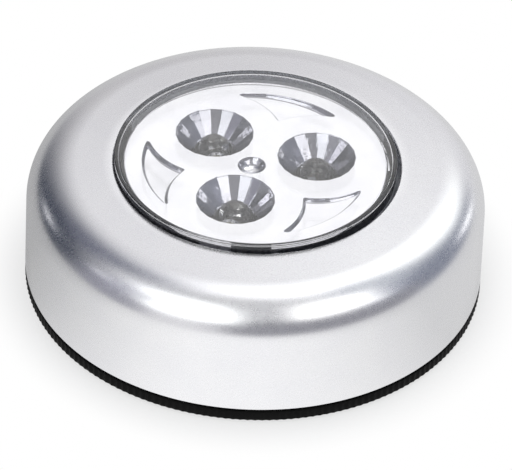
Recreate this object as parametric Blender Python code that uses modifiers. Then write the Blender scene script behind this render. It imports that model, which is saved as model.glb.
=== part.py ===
"""A round push-on closet light, modelled as its separate pieces. Metres, +Z up.

The origin is the centre of the adhesive pad's lower face, where the light meets the wall or shelf.
Three cells lie in a triangle round a central well. The lens, reflector, LEDs and their board form
one head, which slides down in the well when it is pressed and works the switch under the board.
The black base carries the pad, and lets go of the housing after a short twist.
"""

import math

import bmesh
import bpy
from mathutils import Matrix, Vector

# Shared by the whole light
CLEARANCE = 0.0003
OVERRUN = 0.001
MERGE = 0.00001
COUNT = 3
STEP_ANGLE = 2 * math.pi / COUNT
HALF_STEP = STEP_ANGLE / 2
MAIN_STEPS = 64
SMALL_STEPS = 14
ARC_POINTS = 5

# Adhesive pad, which stands proud of the base
PAD_RADIUS = 0.020
PAD_THICKNESS = 0.001
PAD_PROUD = 0.0005

# AAA cells
CELL_RADIUS = 0.00525
CELL_LENGTH = 0.0445
CELL_EDGE = 0.0004
CELL_NUB_RADIUS = 0.0019
CELL_NUB_LENGTH = 0.0009
CELL_CORNER_GAP = 0.00035

# Battery chassis
CHASSIS_WALL = 0.0008
CHASSIS_ROOF = 0.001
WELL_CORNER_RADIUS = 0.017
WELL_FLOOR = 0.0008
END_WALL = 0.0009
OUTER_WALL_HALF_LENGTH = 0.014
OUTER_WALL_HEIGHT = 0.0085
CHASSIS_ROOM = 0.0005
WIRE_SLOT_HALF_WIDTH = 0.0024
WIRE_SLOT_HEIGHT = 0.0025

# Contacts
PLATE_THICKNESS = 0.0004
PLATE_HALF_HEIGHT = 0.00425
PLATE_OUTREACH = 0.0025
SPRING_SPACE = 0.0019
SPRING_WIRE_RADIUS = 0.0002
SPRING_WIDE_RADIUS = 0.0034
SPRING_NARROW_RADIUS = 0.0014
SPRING_TURNS = 3
CURL_POINTS = 10
TERMINAL_SETBACK_PLUS = 0.001
TERMINAL_SETBACK_MINUS = 0.0028

# Base cover
BASE_HEIGHT = 0.0018
KNURL_COUNT = 200
KNURL_DEPTH = 0.0002
HOOK_TURN = math.radians(12)
HOOK_HALF_ANGLE = math.radians(7)
TONGUE_HALF_ANGLE = math.radians(6)
HOOK_POST_DEPTH = 0.0015
HOOK_TONGUE_HEIGHT = 0.0014

# Housing
HOUSING_WALL = 0.0014
HOUSING_DRAFT_SHARE = 0.008
SHOULDER_WIDTH = 0.0088
SHOULDER_HEIGHT = 0.00686
SHOULDER_POINTS = 10
TOP_SLOPE_SHARE = 0.12
LIP_ROUND = 0.0005
LIP_POINTS = 3
COLLAR_HEIGHT = 0.0032
COLLAR_WALL = 0.0013
LEDGE_LIFT = 0.0014
LEDGE_THICKNESS = 0.0012
LEDGE_DEPTH = 0.0018
STOP_ANGLE = math.radians(2)
TWIST = math.radians(24)
TURN_GAP = math.radians(1)
BOSS_RADIUS = 0.0026
BOSS_SETBACK = 0.0064
SHOULDER_ROOM = 0.0105

# Screws
SCREW_RADIUS = 0.001
SCREW_HEAD_RADIUS = 0.0019
SCREW_HEAD_HEIGHT = 0.0012
SCREW_BITE = 0.0032
SCREW_CROSS_WIDTH = 0.0005
SCREW_CROSS_DEPTH = 0.0006
SLOT_LENGTH_SHARE = 0.6
HEAD_TAPER_SHARE = 0.8
HEAD_RIM_SHARE = 1 / 3

# Pressing head: lens cap
HEAD_TRAVEL = 0.0016
HEAD_SPARE = 0.0006
LENS_RADIUS = 0.0217
LENS_WALL = 0.0012
LENS_TOP = 0.0012
LENS_FLANGE_HEIGHT = 0.0012
LENS_FLANGE_WIDTH = 0.0013
LENS_PROUD = 0.0004
LENS_EDGE = 0.0008
LENS_EDGE_POINTS = 4
LENS_CROWN = 0.0003
CROWN_KNEE_SHARE = 2 / 3
CLIP_ANGLE = math.radians(258)
CLIP_HALF_ANGLE = math.radians(10)
CLIP_HEIGHT = 0.0008
CLIP_DEPTH = 0.0012

# Pressing head: reflector
REFLECTOR_GAP = 0.0007
REFLECTOR_FACE_GAP = 0.0004
REFLECTOR_THICKNESS = 0.0022
CUP_OFFSET = 0.00945
CUP_RADIUS = 0.00585
CUP_DEPTH = 0.0035
CUP_SIDES = 20
CUP_SKIN = 0.0008
SLEEVE_LENGTH = 0.0022
POCKET_DEPTH = 0.0012
POCKET_RADIUS = 0.0171
POCKET_HALF_ANGLE = math.radians(27)
POCKET_CUP_RADIUS = 0.01025
POCKET_POINTS = 9
DIMPLE_RADIUS = 0.0026
DIMPLE_DEPTH = 0.0008
EAR_ANGLE = math.radians(237.5)
EAR_HALF_ANGLE = math.radians(10)
EAR_THICKNESS = 0.0012
POST_RADIUS = 0.0022
POST_OFFSET = 0.0089

# Pressing head: LEDs, board, resistor
LED_RADIUS = 0.0025
LED_FLANGE_RADIUS = 0.0029
LED_FLANGE_HEIGHT = 0.001
LED_HEIGHT = 0.0086
LED_TIP_DEPTH = 0.0011
LED_DOME_POINTS = 6
LED_STEPS = 20
LEAD_RADIUS = 0.00025
LEAD_SIDES = 8
LEAD_SPACING = 0.00254
LEAD_BELOW = 0.0012
BOARD_THICKNESS = 0.0016
BOARD_MARGIN = 0.00045
RESISTOR_RADIUS = 0.001
RESISTOR_HALF_LENGTH = 0.0016
RESISTOR_LEAD_SPAN = 0.0022
RESISTOR_SETBACK = 0.0048
RESISTOR_TURN = math.radians(30)

# Switch under the board
SWITCH_SIDE = 0.008
SWITCH_LIP = 0.0005
SWITCH_CAVITY_RADIUS = 0.0029
PLUNGER_RADIUS = 0.002
PLUNGER_FLANGE_RADIUS = 0.0026
PLUNGER_FLANGE_HEIGHT = 0.0006
PLUNGER_BORE_RADIUS = 0.00135
PLUNGER_TIP = 0.0006
RETURN_RADIUS = 0.00085
RETURN_WIRE_RADIUS = 0.00015
RETURN_TURNS = 5

# Leads from the contacts to the board
WIRE_RADIUS = 0.0004
WIRE_SPACING = 0.0015
WIRE_SHIFT = 0.00025
WIRE_LEAD_OUT = 0.0005
WIRE_PAD_X = 0.0118
WIRE_PAD_Y = 0.002
WIRE_BEND = 0.0014
WIRE_LIFT_SHARE = 0.25
WIRE_SETBACK = 0.0011
WIRE_POINTS = 4

# Where the pieces come to lie, worked out from the sizes above
CELLS_TOUCH = (CELL_LENGTH / 2 + math.sqrt(3) * CELL_RADIUS + CELL_CORNER_GAP) / math.sqrt(3)
WELL_LEAST = POST_OFFSET + SCREW_HEAD_RADIUS + 2 * CLEARANCE
CELL_OFFSET = max(CELLS_TOUCH, WELL_LEAST + CHASSIS_WALL + CLEARANCE + CELL_RADIUS)
WELL_WALL_OUTER = CELL_OFFSET - CELL_RADIUS - CLEARANCE
WELL_FLAT = WELL_WALL_OUTER - CHASSIS_WALL
BASE_TOP = PAD_PROUD + BASE_HEIGHT
HOUSING_BOTTOM = BASE_TOP + CLEARANCE
WELL_BOTTOM = BASE_TOP + 2 * CLEARANCE
WELL_FLOOR_TOP = WELL_BOTTOM + WELL_FLOOR
CELL_BOTTOM = BASE_TOP + 3 * CLEARANCE
CELL_HEIGHT = CELL_BOTTOM + CELL_RADIUS
ROOF_BOTTOM = CELL_HEIGHT + CELL_RADIUS + CLEARANCE
ROOF_TOP = ROOF_BOTTOM + CHASSIS_ROOF

PLUS_PLATE = CELL_LENGTH / 2 + CLEARANCE + PLATE_THICKNESS / 2
MINUS_PLATE = CELL_LENGTH / 2 + SPRING_SPACE + PLATE_THICKNESS / 2
WALL_STEP = PLATE_THICKNESS / 2 + CLEARANCE + END_WALL / 2
CHASSIS_REACH = math.hypot(CELL_OFFSET + PLATE_OUTREACH, MINUS_PLATE + WALL_STEP + END_WALL / 2)
FLANGE_RADIUS = LENS_RADIUS + LENS_FLANGE_WIDTH
HOUSING_BORE = max(CHASSIS_REACH + CHASSIS_ROOM, FLANGE_RADIUS + SHOULDER_ROOM)
BOSS_OFFSET = HOUSING_BORE - BOSS_SETBACK
BODY_RADIUS = HOUSING_BORE + HOUSING_WALL
ROOF_RADIUS = HOUSING_BORE - 2 * CHASSIS_ROOM

FLANGE_BOTTOM = ROOF_TOP + HEAD_TRAVEL + HEAD_SPARE
FLANGE_TOP = FLANGE_BOTTOM + LENS_FLANGE_HEIGHT
COLLAR_BOTTOM = FLANGE_TOP + CLEARANCE
LIP_HEIGHT = COLLAR_BOTTOM + COLLAR_HEIGHT
OPENING_RADIUS = LENS_RADIUS + CLEARANCE
LENS_BORE = LENS_RADIUS - LENS_WALL
LENS_EDGE_HEIGHT = LIP_HEIGHT + LENS_PROUD
LENS_SHOULDER = LENS_EDGE_HEIGHT + LENS_EDGE

REFLECTOR_RADIUS = LENS_BORE - REFLECTOR_GAP
REFLECTOR_FACE = LENS_SHOULDER - LENS_TOP - REFLECTOR_FACE_GAP
REFLECTOR_BACK = REFLECTOR_FACE - REFLECTOR_THICKNESS
CUP_BOTTOM = REFLECTOR_FACE - CUP_DEPTH
SLEEVE_BORE = LED_RADIUS + CLEARANCE
LED_BOTTOM = REFLECTOR_FACE - LED_TIP_DEPTH - LED_HEIGHT
BOARD_TOP = LED_BOTTOM - CLEARANCE
BOARD_BOTTOM = BOARD_TOP - BOARD_THICKNESS
BOARD_RADIUS = CUP_OFFSET + LED_FLANGE_RADIUS + BOARD_MARGIN
RESISTOR_OFFSET = BOARD_RADIUS - RESISTOR_SETBACK
SCREW_HOLE = SCREW_RADIUS + CLEARANCE

SWITCH_TOP = BOARD_BOTTOM - CLEARANCE
SWITCH_BOTTOM = WELL_FLOOR_TOP + CLEARANCE + HEAD_TRAVEL
PLUNGER_BOTTOM = WELL_FLOOR_TOP + CLEARANCE
HOOK_RADIUS = HOUSING_BORE - LEDGE_DEPTH - CLEARANCE
LEDGE_BOTTOM = HOUSING_BOTTOM + LEDGE_LIFT
LEDGE_TOP = LEDGE_BOTTOM + LEDGE_THICKNESS
TONGUE_BOTTOM = LEDGE_TOP + CLEARANCE


def new_collection(name):
    collection = bpy.data.collections.new(name)
    bpy.context.scene.collection.children.link(collection)
    return collection


def new_material(name, colour, roughness, metallic=0.0, alpha=1.0):
    material = bpy.data.materials.new(name)
    material.use_nodes = True
    shader = material.node_tree.nodes["Principled BSDF"]
    shader.inputs["Base Color"].default_value = (*colour, 1.0)
    shader.inputs["Roughness"].default_value = roughness
    shader.inputs["Metallic"].default_value = metallic
    shader.inputs["Alpha"].default_value = alpha
    material.diffuse_color = (*colour, alpha)
    return material


def put(name, data, material=None):
    """A new object: a part where a material is given, and a cutter or an added shape where not."""
    body = bpy.data.objects.new(name, data)
    if material:
        PARTS.objects.link(body)
        data.materials.append(material)
    else:
        CUTTERS.objects.link(body)
        body.hide_render = True
        body.display_type = "WIRE"
    return body


def turned(name, profile, material=None, steps=MAIN_STEPS, closed=False):
    """Points of radius and height, down the outer side first, turned about Z."""
    edges = [(i, i + 1) for i in range(len(profile) - 1)]
    if closed:
        edges.append((len(profile) - 1, 0))
    mesh = bpy.data.meshes.new(name)
    mesh.from_pydata([(radius, 0, height) for radius, height in profile], edges, [])
    body = put(name, mesh, material)
    screw = body.modifiers.new("Turn", "SCREW")
    screw.axis = "Z"
    screw.steps = steps
    screw.render_steps = steps
    screw.use_merge_vertices = True
    screw.merge_threshold = MERGE
    return body


def as_mesh(body, name, material=None):
    """The evaluated object as a plain mesh object, with its doubles merged."""
    bpy.context.view_layer.update()
    seen = body.evaluated_get(bpy.context.evaluated_depsgraph_get())
    mesh = bpy.data.meshes.new_from_object(seen)
    mesh.materials.clear()
    shape = bmesh.new()
    shape.from_mesh(mesh)
    bmesh.ops.remove_doubles(shape, verts=shape.verts, dist=MERGE)
    shape.to_mesh(mesh)
    shape.free()
    place = body.matrix_world.copy()
    bpy.data.objects.remove(body)
    fresh = put(name, mesh, material)
    fresh.matrix_world = place
    return fresh


def slab(name, outlines, low, high, material=None):
    """Flat outlines, the outer one first and any holes after it, from one height to another."""
    curve = bpy.data.curves.new(name, "CURVE")
    curve.dimensions = "2D"
    curve.fill_mode = "BOTH"
    curve.extrude = (high - low) / 2
    for outline in outlines:
        spline = curve.splines.new("POLY")
        spline.points.add(len(outline) - 1)
        for point, (x, y) in zip(spline.points, outline):
            point.co = (x, y, 0, 1)
        spline.use_cyclic_u = True
    body = put(name, curve)
    body.location.z = (low + high) / 2
    return as_mesh(body, name, material)


def tube(name, points, radius, material=None, resolution=2):
    curve = bpy.data.curves.new(name, "CURVE")
    curve.dimensions = "3D"
    curve.bevel_depth = radius
    curve.bevel_resolution = resolution
    curve.use_fill_caps = True
    spline = curve.splines.new("POLY")
    spline.points.add(len(points) - 1)
    for point, place in zip(spline.points, points):
        point.co = (*place, 1)
    return put(name, curve, material)


def rod(name, radius, low, high, centre=(0, 0), sides=SMALL_STEPS, material=None):
    """An upright round bar."""
    mesh = bpy.data.meshes.new(name)
    shape = bmesh.new()
    place = Matrix.Translation((*centre, (low + high) / 2))
    bmesh.ops.create_cone(
        shape,
        cap_ends=True,
        segments=sides,
        radius1=radius,
        radius2=radius,
        depth=high - low,
        matrix=place,
    )
    shape.to_mesh(mesh)
    shape.free()
    return put(name, mesh, material)


def joined(name, bodies, material=None):
    """Several shapes as one object, each with its modifiers and its place made real."""
    bpy.context.view_layer.update()
    shape = bmesh.new()
    for body in bodies:
        seen = body.evaluated_get(bpy.context.evaluated_depsgraph_get())
        mesh = bpy.data.meshes.new_from_object(seen)
        mesh.transform(body.matrix_world)
        shape.from_mesh(mesh)
        bpy.data.meshes.remove(mesh)
    bmesh.ops.remove_doubles(shape, verts=shape.verts, dist=MERGE)
    mesh = bpy.data.meshes.new(name)
    shape.to_mesh(mesh)
    shape.free()
    for body in bodies:
        bpy.data.objects.remove(body)
    return put(name, mesh, material)


def combine(body, tool, operation):
    boolean = body.modifiers.new(operation.title(), "BOOLEAN")
    boolean.operation = operation
    boolean.solver = "EXACT"
    boolean.object = tool


def add(body, tool):
    combine(body, tool, "UNION")


def cut(body, tool):
    combine(body, tool, "DIFFERENCE")


def polar(radius, angle):
    return (radius * math.cos(angle), radius * math.sin(angle))


def ring(radius, count=MAIN_STEPS, centre=(0, 0)):
    turns = [2 * math.pi * i / count for i in range(count)]
    return [(centre[0] + polar(radius, t)[0], centre[1] + polar(radius, t)[1]) for t in turns]


def arc_block(inner, outer, middle, half_angle, points=ARC_POINTS):
    """The outline of a stretch of a ring, by its radii, middle direction and half angle."""
    turns = [middle + half_angle * (2 * i / (points - 1) - 1) for i in range(points)]
    return [polar(outer, t) for t in turns] + [polar(inner, t) for t in reversed(turns)]


def side_turns(turn=0.0):
    """Directions of the three cells' middles, turned on by an angle."""
    return [HALF_STEP + STEP_ANGLE * i + turn for i in range(COUNT)]


def corner_turns(turn=0.0):
    """Directions of the three corners between the cells, turned on by an angle."""
    return [STEP_ANGLE * i + turn for i in range(COUNT)]


def cell_place(middle, outward, along):
    """A point in the plane, by its distances outward and along the cell with this middle direction."""
    x, y = polar(outward, middle)
    tangent = polar(along, middle + math.pi / 2)
    return (x + tangent[0], y + tangent[1])


def cell_matrix(middle):
    """Places a shape made along +Z on a cell's axis, pointing to its plus end."""
    centre = Vector((*polar(CELL_OFFSET, middle), CELL_HEIGHT))
    lay_down = Matrix.Rotation(-math.pi / 2, 4, "X")
    return Matrix.Translation(centre) @ Matrix.Rotation(middle, 4, "Z") @ lay_down


def smooth_path(points, between):
    """A curve through the points, by the uniform Catmull-Rom rule."""
    points = [Vector(point) for point in points]
    ends = [2 * points[0] - points[1], *points, 2 * points[-1] - points[-2]]
    path = []
    for a, b, c, d in zip(ends, ends[1:], ends[2:], ends[3:]):
        for i in range(between):
            t = i / between
            path.append(
                b
                + (c - a) * t / 2
                + (2 * a - 5 * b + 4 * c - d) * t * t / 2
                + (3 * b - a - 3 * c + d) * t * t * t / 2
            )
    return [tuple(point) for point in [*path, points[-1]]]


def coil_path(low, high, low_radius, high_radius, turns):
    """A coil about Z whose radius runs evenly from one value to another."""
    count = turns * CURL_POINTS
    path = []
    for i in range(count + 1):
        share = i / count
        radius = low_radius + (high_radius - low_radius) * share
        path.append((*polar(radius, 2 * math.pi * turns * share), low + (high - low) * share))
    return path


def least_coil_gap(path, wire_radius):
    """The smallest gap between points a turn or more apart."""
    points = [Vector(point) for point in path]
    apart = [
        (a - b).length
        for i, a in enumerate(points)
        for b in points[i + CURL_POINTS :]
    ]
    return min(apart) - 2 * wire_radius


def make_pad():
    foam = new_material("white_foam", (0.80, 0.80, 0.76), 0.9)
    rod("adhesive_pad", PAD_RADIUS, 0, PAD_THICKNESS, sides=MAIN_STEPS, material=foam)


def knurled_ring():
    outline = []
    for i in range(KNURL_COUNT):
        tooth = 2 * math.pi * i / KNURL_COUNT
        outline.append(polar(BODY_RADIUS, tooth))
        outline.append(polar(BODY_RADIUS - KNURL_DEPTH, tooth + math.pi / KNURL_COUNT))
    return outline


def make_base_cover():
    black = new_material("black_abs", (0.015, 0.015, 0.017), 0.5)
    cover = slab("base_cover", [knurled_ring()], PAD_PROUD, BASE_TOP, black)
    tongue_top = TONGUE_BOTTOM + HOOK_TONGUE_HEIGHT
    for turn in side_turns(HOOK_TURN):
        post = arc_block(HOOK_RADIUS - HOOK_POST_DEPTH, HOOK_RADIUS, turn, HOOK_HALF_ANGLE)
        add(cover, slab("hook_post", [post], BASE_TOP - BASE_HEIGHT / 2, tongue_top + CLEARANCE))
        start = HOOK_RADIUS - HOOK_POST_DEPTH / 2
        tongue = arc_block(start, HOUSING_BORE - CLEARANCE, turn, TONGUE_HALF_ANGLE)
        add(cover, slab("hook_tongue", [tongue], TONGUE_BOTTOM, tongue_top))
    recess = PAD_THICKNESS + CLEARANCE
    cut(cover, rod("pad_recess", PAD_RADIUS + CLEARANCE, PAD_PROUD - OVERRUN, recess, sides=MAIN_STEPS))


def shoulder(width, height, slope_end, centre):
    """The quarter round from the wall to where the top's slope begins, as radius and height."""
    count = SHOULDER_POINTS
    turns = [slope_end * i / count for i in range(count + 1)]
    return [(centre[0] + width * math.cos(t), centre[1] + height * math.sin(t)) for t in turns]


def housing_profile():
    """The housing's section, from the inside up to the lip and down the outside, and its ceiling."""
    wall_draft = HOUSING_DRAFT_SHARE * (LIP_HEIGHT - SHOULDER_HEIGHT - PAD_PROUD)
    centre_radius = BODY_RADIUS - wall_draft - SHOULDER_WIDTH
    slope_end = math.atan(SHOULDER_HEIGHT / (TOP_SLOPE_SHARE * SHOULDER_WIDTH))
    end_radius = centre_radius + SHOULDER_WIDTH * math.cos(slope_end)
    lip_radius = OPENING_RADIUS + LIP_ROUND
    fall = TOP_SLOPE_SHARE * (end_radius - lip_radius)
    centre = (centre_radius, LIP_HEIGHT - fall - SHOULDER_HEIGHT * math.sin(slope_end))
    outside = [(BODY_RADIUS, HOUSING_BOTTOM)]
    outside += shoulder(SHOULDER_WIDTH, SHOULDER_HEIGHT, slope_end, centre)
    for i in range(LIP_POINTS + 1):
        turn = math.pi / 2 * (1 + i / LIP_POINTS)
        radius, height = polar(LIP_ROUND, turn)
        outside.append((lip_radius + radius, LIP_HEIGHT - LIP_ROUND + height))
    collar_outer = OPENING_RADIUS + COLLAR_WALL
    inner_width = SHOULDER_WIDTH - HOUSING_WALL
    inner_height = SHOULDER_HEIGHT - HOUSING_WALL
    inside = shoulder(inner_width, inner_height, slope_end, centre)
    last_radius, last_height = inside[-1]
    ceiling = last_height + TOP_SLOPE_SHARE * (last_radius - collar_outer)
    inside.append((collar_outer, ceiling))
    inside = [(HOUSING_BORE, HOUSING_BOTTOM), *inside]
    collar = [(OPENING_RADIUS, COLLAR_BOTTOM), (collar_outer, COLLAR_BOTTOM)]
    return list(reversed(outside + collar + list(reversed(inside)))), ceiling


def make_housing():
    silver = new_material("silver_painted_abs", (0.62, 0.63, 0.66), 0.32, metallic=0.85)
    profile, ceiling = housing_profile()
    housing = turned("housing", profile, silver, closed=True)
    grip = HOUSING_WALL / 2
    outer = HOUSING_BORE + grip
    inner = HOUSING_BORE - LEDGE_DEPTH
    hook = HOOK_HALF_ANGLE + TURN_GAP
    tongue_top = TONGUE_BOTTOM + HOOK_TONGUE_HEIGHT
    added = []
    for middle in side_turns():
        locked = middle + HOOK_TURN
        ledge_from = locked - TWIST + hook
        ledge_to = locked + hook + STOP_ANGLE
        ledge = arc_block(inner, outer, (ledge_from + ledge_to) / 2, (ledge_to - ledge_from) / 2)
        added.append(slab("ledge", [ledge], LEDGE_BOTTOM, LEDGE_TOP))
        for stop in (locked + hook + STOP_ANGLE, locked - TWIST - hook - STOP_ANGLE):
            block = arc_block(inner + CLEARANCE, outer, stop, STOP_ANGLE, points=4)
            added.append(slab("stop", [block], (LEDGE_BOTTOM + LEDGE_TOP) / 2, tongue_top))
        centre = polar(BOSS_OFFSET, middle)
        added.append(rod("boss", BOSS_RADIUS, ROOF_TOP + CLEARANCE, ceiling, centre))
    for tool in added:
        add(housing, tool)
    pilots = []
    for middle in side_turns():
        centre = polar(BOSS_OFFSET, middle)
        pilot_top = ROOF_TOP + 2 * CLEARANCE + SCREW_BITE
        pilots.append(rod("pilot", SCREW_HOLE, ROOF_TOP - OVERRUN, pilot_top, centre))
    cut(housing, joined("boss_pilots", pilots))


def well_outline(grown):
    """The well: flat sides along the cells and round corners between them, grown by a distance."""
    flat = WELL_FLAT + grown
    corner = WELL_CORNER_RADIUS + grown
    half = math.pi / COUNT - math.acos(flat / corner)
    outline = []
    for turn in corner_turns():
        for i in range(ARC_POINTS):
            outline.append(polar(corner, turn + half * (2 * i / (ARC_POINTS - 1) - 1)))
    return outline


def fold_place(corner, plus_along, minus_along):
    """Where the plane before the plus end and the plane before the next cell's minus end cross."""
    outward = (minus_along + plus_along * math.cos(STEP_ANGLE)) / math.sin(STEP_ANGLE)
    return cell_place(corner - HALF_STEP, outward, plus_along), outward


def folded_outline(corner, plus_along, minus_along, thickness, outward_end):
    """A strip of even thickness folded round a corner, in front of one plus and one minus end."""
    before = corner - HALF_STEP
    after = corner + HALF_STEP
    near = thickness / 2
    outline = []
    for side in (-near, near):
        plus = plus_along + side
        minus = minus_along + side
        fold, _ = fold_place(corner, plus, minus)
        stretch = [cell_place(before, outward_end, plus), fold, cell_place(after, outward_end, -minus)]
        outline += stretch if side < 0 else list(reversed(stretch))
    return outline


def end_outline(middle, low, high, along, thickness):
    """A straight strip across the end of one cell, from one outward distance to another."""
    near = thickness / 2
    return [
        cell_place(middle, low, along - near),
        cell_place(middle, high, along - near),
        cell_place(middle, high, along + near),
        cell_place(middle, low, along + near),
    ]


def make_chassis():
    white = new_material("white_abs", (0.72, 0.72, 0.70), 0.5)
    holes = [ring(SCREW_HOLE, SMALL_STEPS, polar(BOSS_OFFSET, middle)) for middle in side_turns()]
    chassis = slab("battery_chassis", [ring(ROOF_RADIUS), *holes], ROOF_BOTTOM, ROOF_TOP, white)
    into_roof = ROOF_BOTTOM + CHASSIS_ROOF / 2
    add(chassis, slab("well_block", [well_outline(CHASSIS_WALL)], WELL_BOTTOM, into_roof))
    walls = []
    for corner in corner_turns():
        outline = folded_outline(
            corner,
            PLUS_PLATE + WALL_STEP,
            MINUS_PLATE + WALL_STEP,
            END_WALL,
            CELL_OFFSET + PLATE_OUTREACH,
        )
        walls.append(slab("end_wall", [outline], CELL_HEIGHT - PLATE_HALF_HEIGHT, into_roof))
    low = CELL_OFFSET + CELL_RADIUS + CLEARANCE
    half = OUTER_WALL_HALF_LENGTH
    for middle in side_turns():
        outline = [
            cell_place(middle, low, -half),
            cell_place(middle, low + CHASSIS_WALL, -half),
            cell_place(middle, low + CHASSIS_WALL, half),
            cell_place(middle, low, half),
        ]
        walls.append(slab("outer_wall", [outline], ROOF_BOTTOM - OUTER_WALL_HEIGHT, into_roof))
    add(chassis, joined("walls", walls))
    cut(chassis, slab("well_hollow", [well_outline(0)], WELL_FLOOR_TOP, ROOF_TOP + OVERRUN))
    near = WELL_CORNER_RADIUS - CHASSIS_WALL
    far = WELL_CORNER_RADIUS + 2 * CHASSIS_WALL
    wide = WIRE_SLOT_HALF_WIDTH
    slot = [(near, -wide), (far, -wide), (far, wide), (near, wide)]
    cut(chassis, slab("wire_slot", [slot], WELL_FLOOR_TOP, WELL_FLOOR_TOP + WIRE_SLOT_HEIGHT))


def make_cells():
    label = new_material("cell_sleeve", (0.05, 0.16, 0.10), 0.35)
    half = CELL_LENGTH / 2
    shoulder_end = half - CELL_NUB_LENGTH
    profile = [
        (0, half),
        (CELL_NUB_RADIUS, half),
        (CELL_NUB_RADIUS, shoulder_end),
        (CELL_RADIUS - CELL_EDGE, shoulder_end),
        (CELL_RADIUS, shoulder_end - CELL_EDGE),
        (CELL_RADIUS, CELL_EDGE - half),
        (CELL_RADIUS - CELL_EDGE, -half),
        (0, -half),
    ]
    for i, middle in enumerate(side_turns(), 1):
        cell = turned(f"battery_{i}", profile, label, steps=SMALL_STEPS * 2)
        cell.matrix_world = cell_matrix(middle)


def make_contacts():
    nickel = new_material("nickel_strip", (0.62, 0.60, 0.56), 0.3, metallic=1.0)
    low = CELL_HEIGHT - PLATE_HALF_HEIGHT
    high = CELL_HEIGHT + PLATE_HALF_HEIGHT
    end = CELL_OFFSET + PLATE_OUTREACH
    first, *others = corner_turns()
    for i, corner in enumerate(others, 1):
        outline = folded_outline(corner, PLUS_PLATE, MINUS_PLATE, PLATE_THICKNESS, end)
        slab(f"link_plate_{i}", [outline], low, high, nickel)
    plus = end_outline(first - HALF_STEP, plus_inner_edge(), end, PLUS_PLATE, PLATE_THICKNESS)
    slab("terminal_plate_plus", [plus], low, high, nickel)
    minus = end_outline(first + HALF_STEP, minus_inner_edge(), end, -MINUS_PLATE, PLATE_THICKNESS)
    slab("terminal_plate_minus", [minus], low, high, nickel)
    base = PLATE_THICKNESS / 2 + CLEARANCE + SPRING_WIRE_RADIUS - MINUS_PLATE
    tip = -CELL_LENGTH / 2 - CLEARANCE - SPRING_WIRE_RADIUS
    path = coil_path(base, tip, SPRING_WIDE_RADIUS, SPRING_NARROW_RADIUS, SPRING_TURNS)
    print("least gap in a battery spring", round(least_coil_gap(path, SPRING_WIRE_RADIUS), 6))
    for i, middle in enumerate(side_turns(), 1):
        spring = tube(f"battery_spring_{i}", path, SPRING_WIRE_RADIUS, nickel, resolution=1)
        spring.matrix_world = cell_matrix(middle)


def plus_inner_edge():
    return fold_place(0, PLUS_PLATE, MINUS_PLATE)[1] + TERMINAL_SETBACK_PLUS


def minus_inner_edge():
    fold, _ = fold_place(0, PLUS_PLATE, MINUS_PLATE)
    direction = polar(1, HALF_STEP)
    return fold[0] * direction[0] + fold[1] * direction[1] + TERMINAL_SETBACK_MINUS


def make_wires():
    """Each lead starts at a plate's inner edge, passes between two cells and climbs to the board."""
    red = new_material("red_pvc", (0.45, 0.03, 0.03), 0.45)
    dark = new_material("black_pvc", (0.02, 0.02, 0.02), 0.45)
    height = WELL_FLOOR_TOP + CLEARANCE + WIRE_RADIUS + CLEARANCE
    fold, _ = fold_place(0, PLUS_PLATE, MINUS_PLATE)
    gap_x = fold[0] - WIRE_SETBACK
    plus = (-HALF_STEP, plus_inner_edge(), PLUS_PLATE)
    minus = (HALF_STEP, minus_inner_edge(), -MINUS_PLATE)
    for name, side, (middle, edge, along), material in (
        ("wire_plus", -1, plus, red),
        ("wire_minus", 1, minus, dark),
    ):
        start = cell_place(middle, edge - CLEARANCE, along)
        leave = cell_place(middle, edge - CLEARANCE - WIRE_LEAD_OUT, along)
        gap_y = side * WIRE_SPACING / 2 - WIRE_SHIFT
        pad = (WIRE_PAD_X, side * WIRE_PAD_Y)
        route = [
            (*start, height),
            (*leave, height),
            (gap_x, gap_y, height),
            (WELL_CORNER_RADIUS, (gap_y + pad[1]) / 2, height),
            (pad[0] + WIRE_BEND, pad[1], height + WIRE_BEND * WIRE_LIFT_SHARE),
            (*pad, height + WIRE_BEND),
            (*pad, BOARD_BOTTOM - CLEARANCE - WIRE_BEND),
            (*pad, BOARD_BOTTOM - CLEARANCE),
        ]
        tube(name, smooth_path(route, WIRE_POINTS), WIRE_RADIUS, material)


def make_screws():
    steel = new_material("zinc_steel", (0.55, 0.55, 0.56), 0.35, metallic=1.0)
    places = [
        ("chassis_screw", BOSS_OFFSET, ROOF_BOTTOM, ROOF_TOP + CLEARANCE + SCREW_BITE),
        ("board_screw", POST_OFFSET, BOARD_BOTTOM, BOARD_TOP + CLEARANCE + SCREW_BITE),
    ]
    for name, pitch, seat, tip in places:
        under = seat - CLEARANCE
        bottom = under - SCREW_HEAD_HEIGHT
        profile = [
            (0, tip),
            (SCREW_RADIUS / 2, tip),
            (SCREW_RADIUS, tip - SCREW_RADIUS),
            (SCREW_RADIUS, under),
            (SCREW_HEAD_RADIUS, under),
            (SCREW_HEAD_RADIUS, bottom + SCREW_HEAD_HEIGHT * HEAD_RIM_SHARE),
            (SCREW_HEAD_RADIUS * HEAD_TAPER_SHARE, bottom),
            (0, bottom),
        ]
        for i, middle in enumerate(side_turns(), 1):
            screw = turned(f"{name}_{i}", profile, steel, steps=SMALL_STEPS)
            screw.location = (*polar(pitch, middle), 0)
            for turn in (middle, middle + math.pi / 2):
                slot = driver_slot(polar(pitch, middle), turn)
                cut(screw, slab("driver_slot", [slot], bottom - OVERRUN, bottom + SCREW_CROSS_DEPTH))


def driver_slot(centre, turn):
    """The outline of one of the two slots that cross in a screw head."""
    long = Vector((*polar(SCREW_HEAD_RADIUS * SLOT_LENGTH_SHARE, turn), 0))
    thin = Vector((*polar(SCREW_CROSS_WIDTH / 2, turn + math.pi / 2), 0))
    middle = Vector((*centre, 0))
    corners = (long + thin, thin - long, -long - thin, long - thin)
    return [tuple((middle + corner).xy) for corner in corners]


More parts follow.
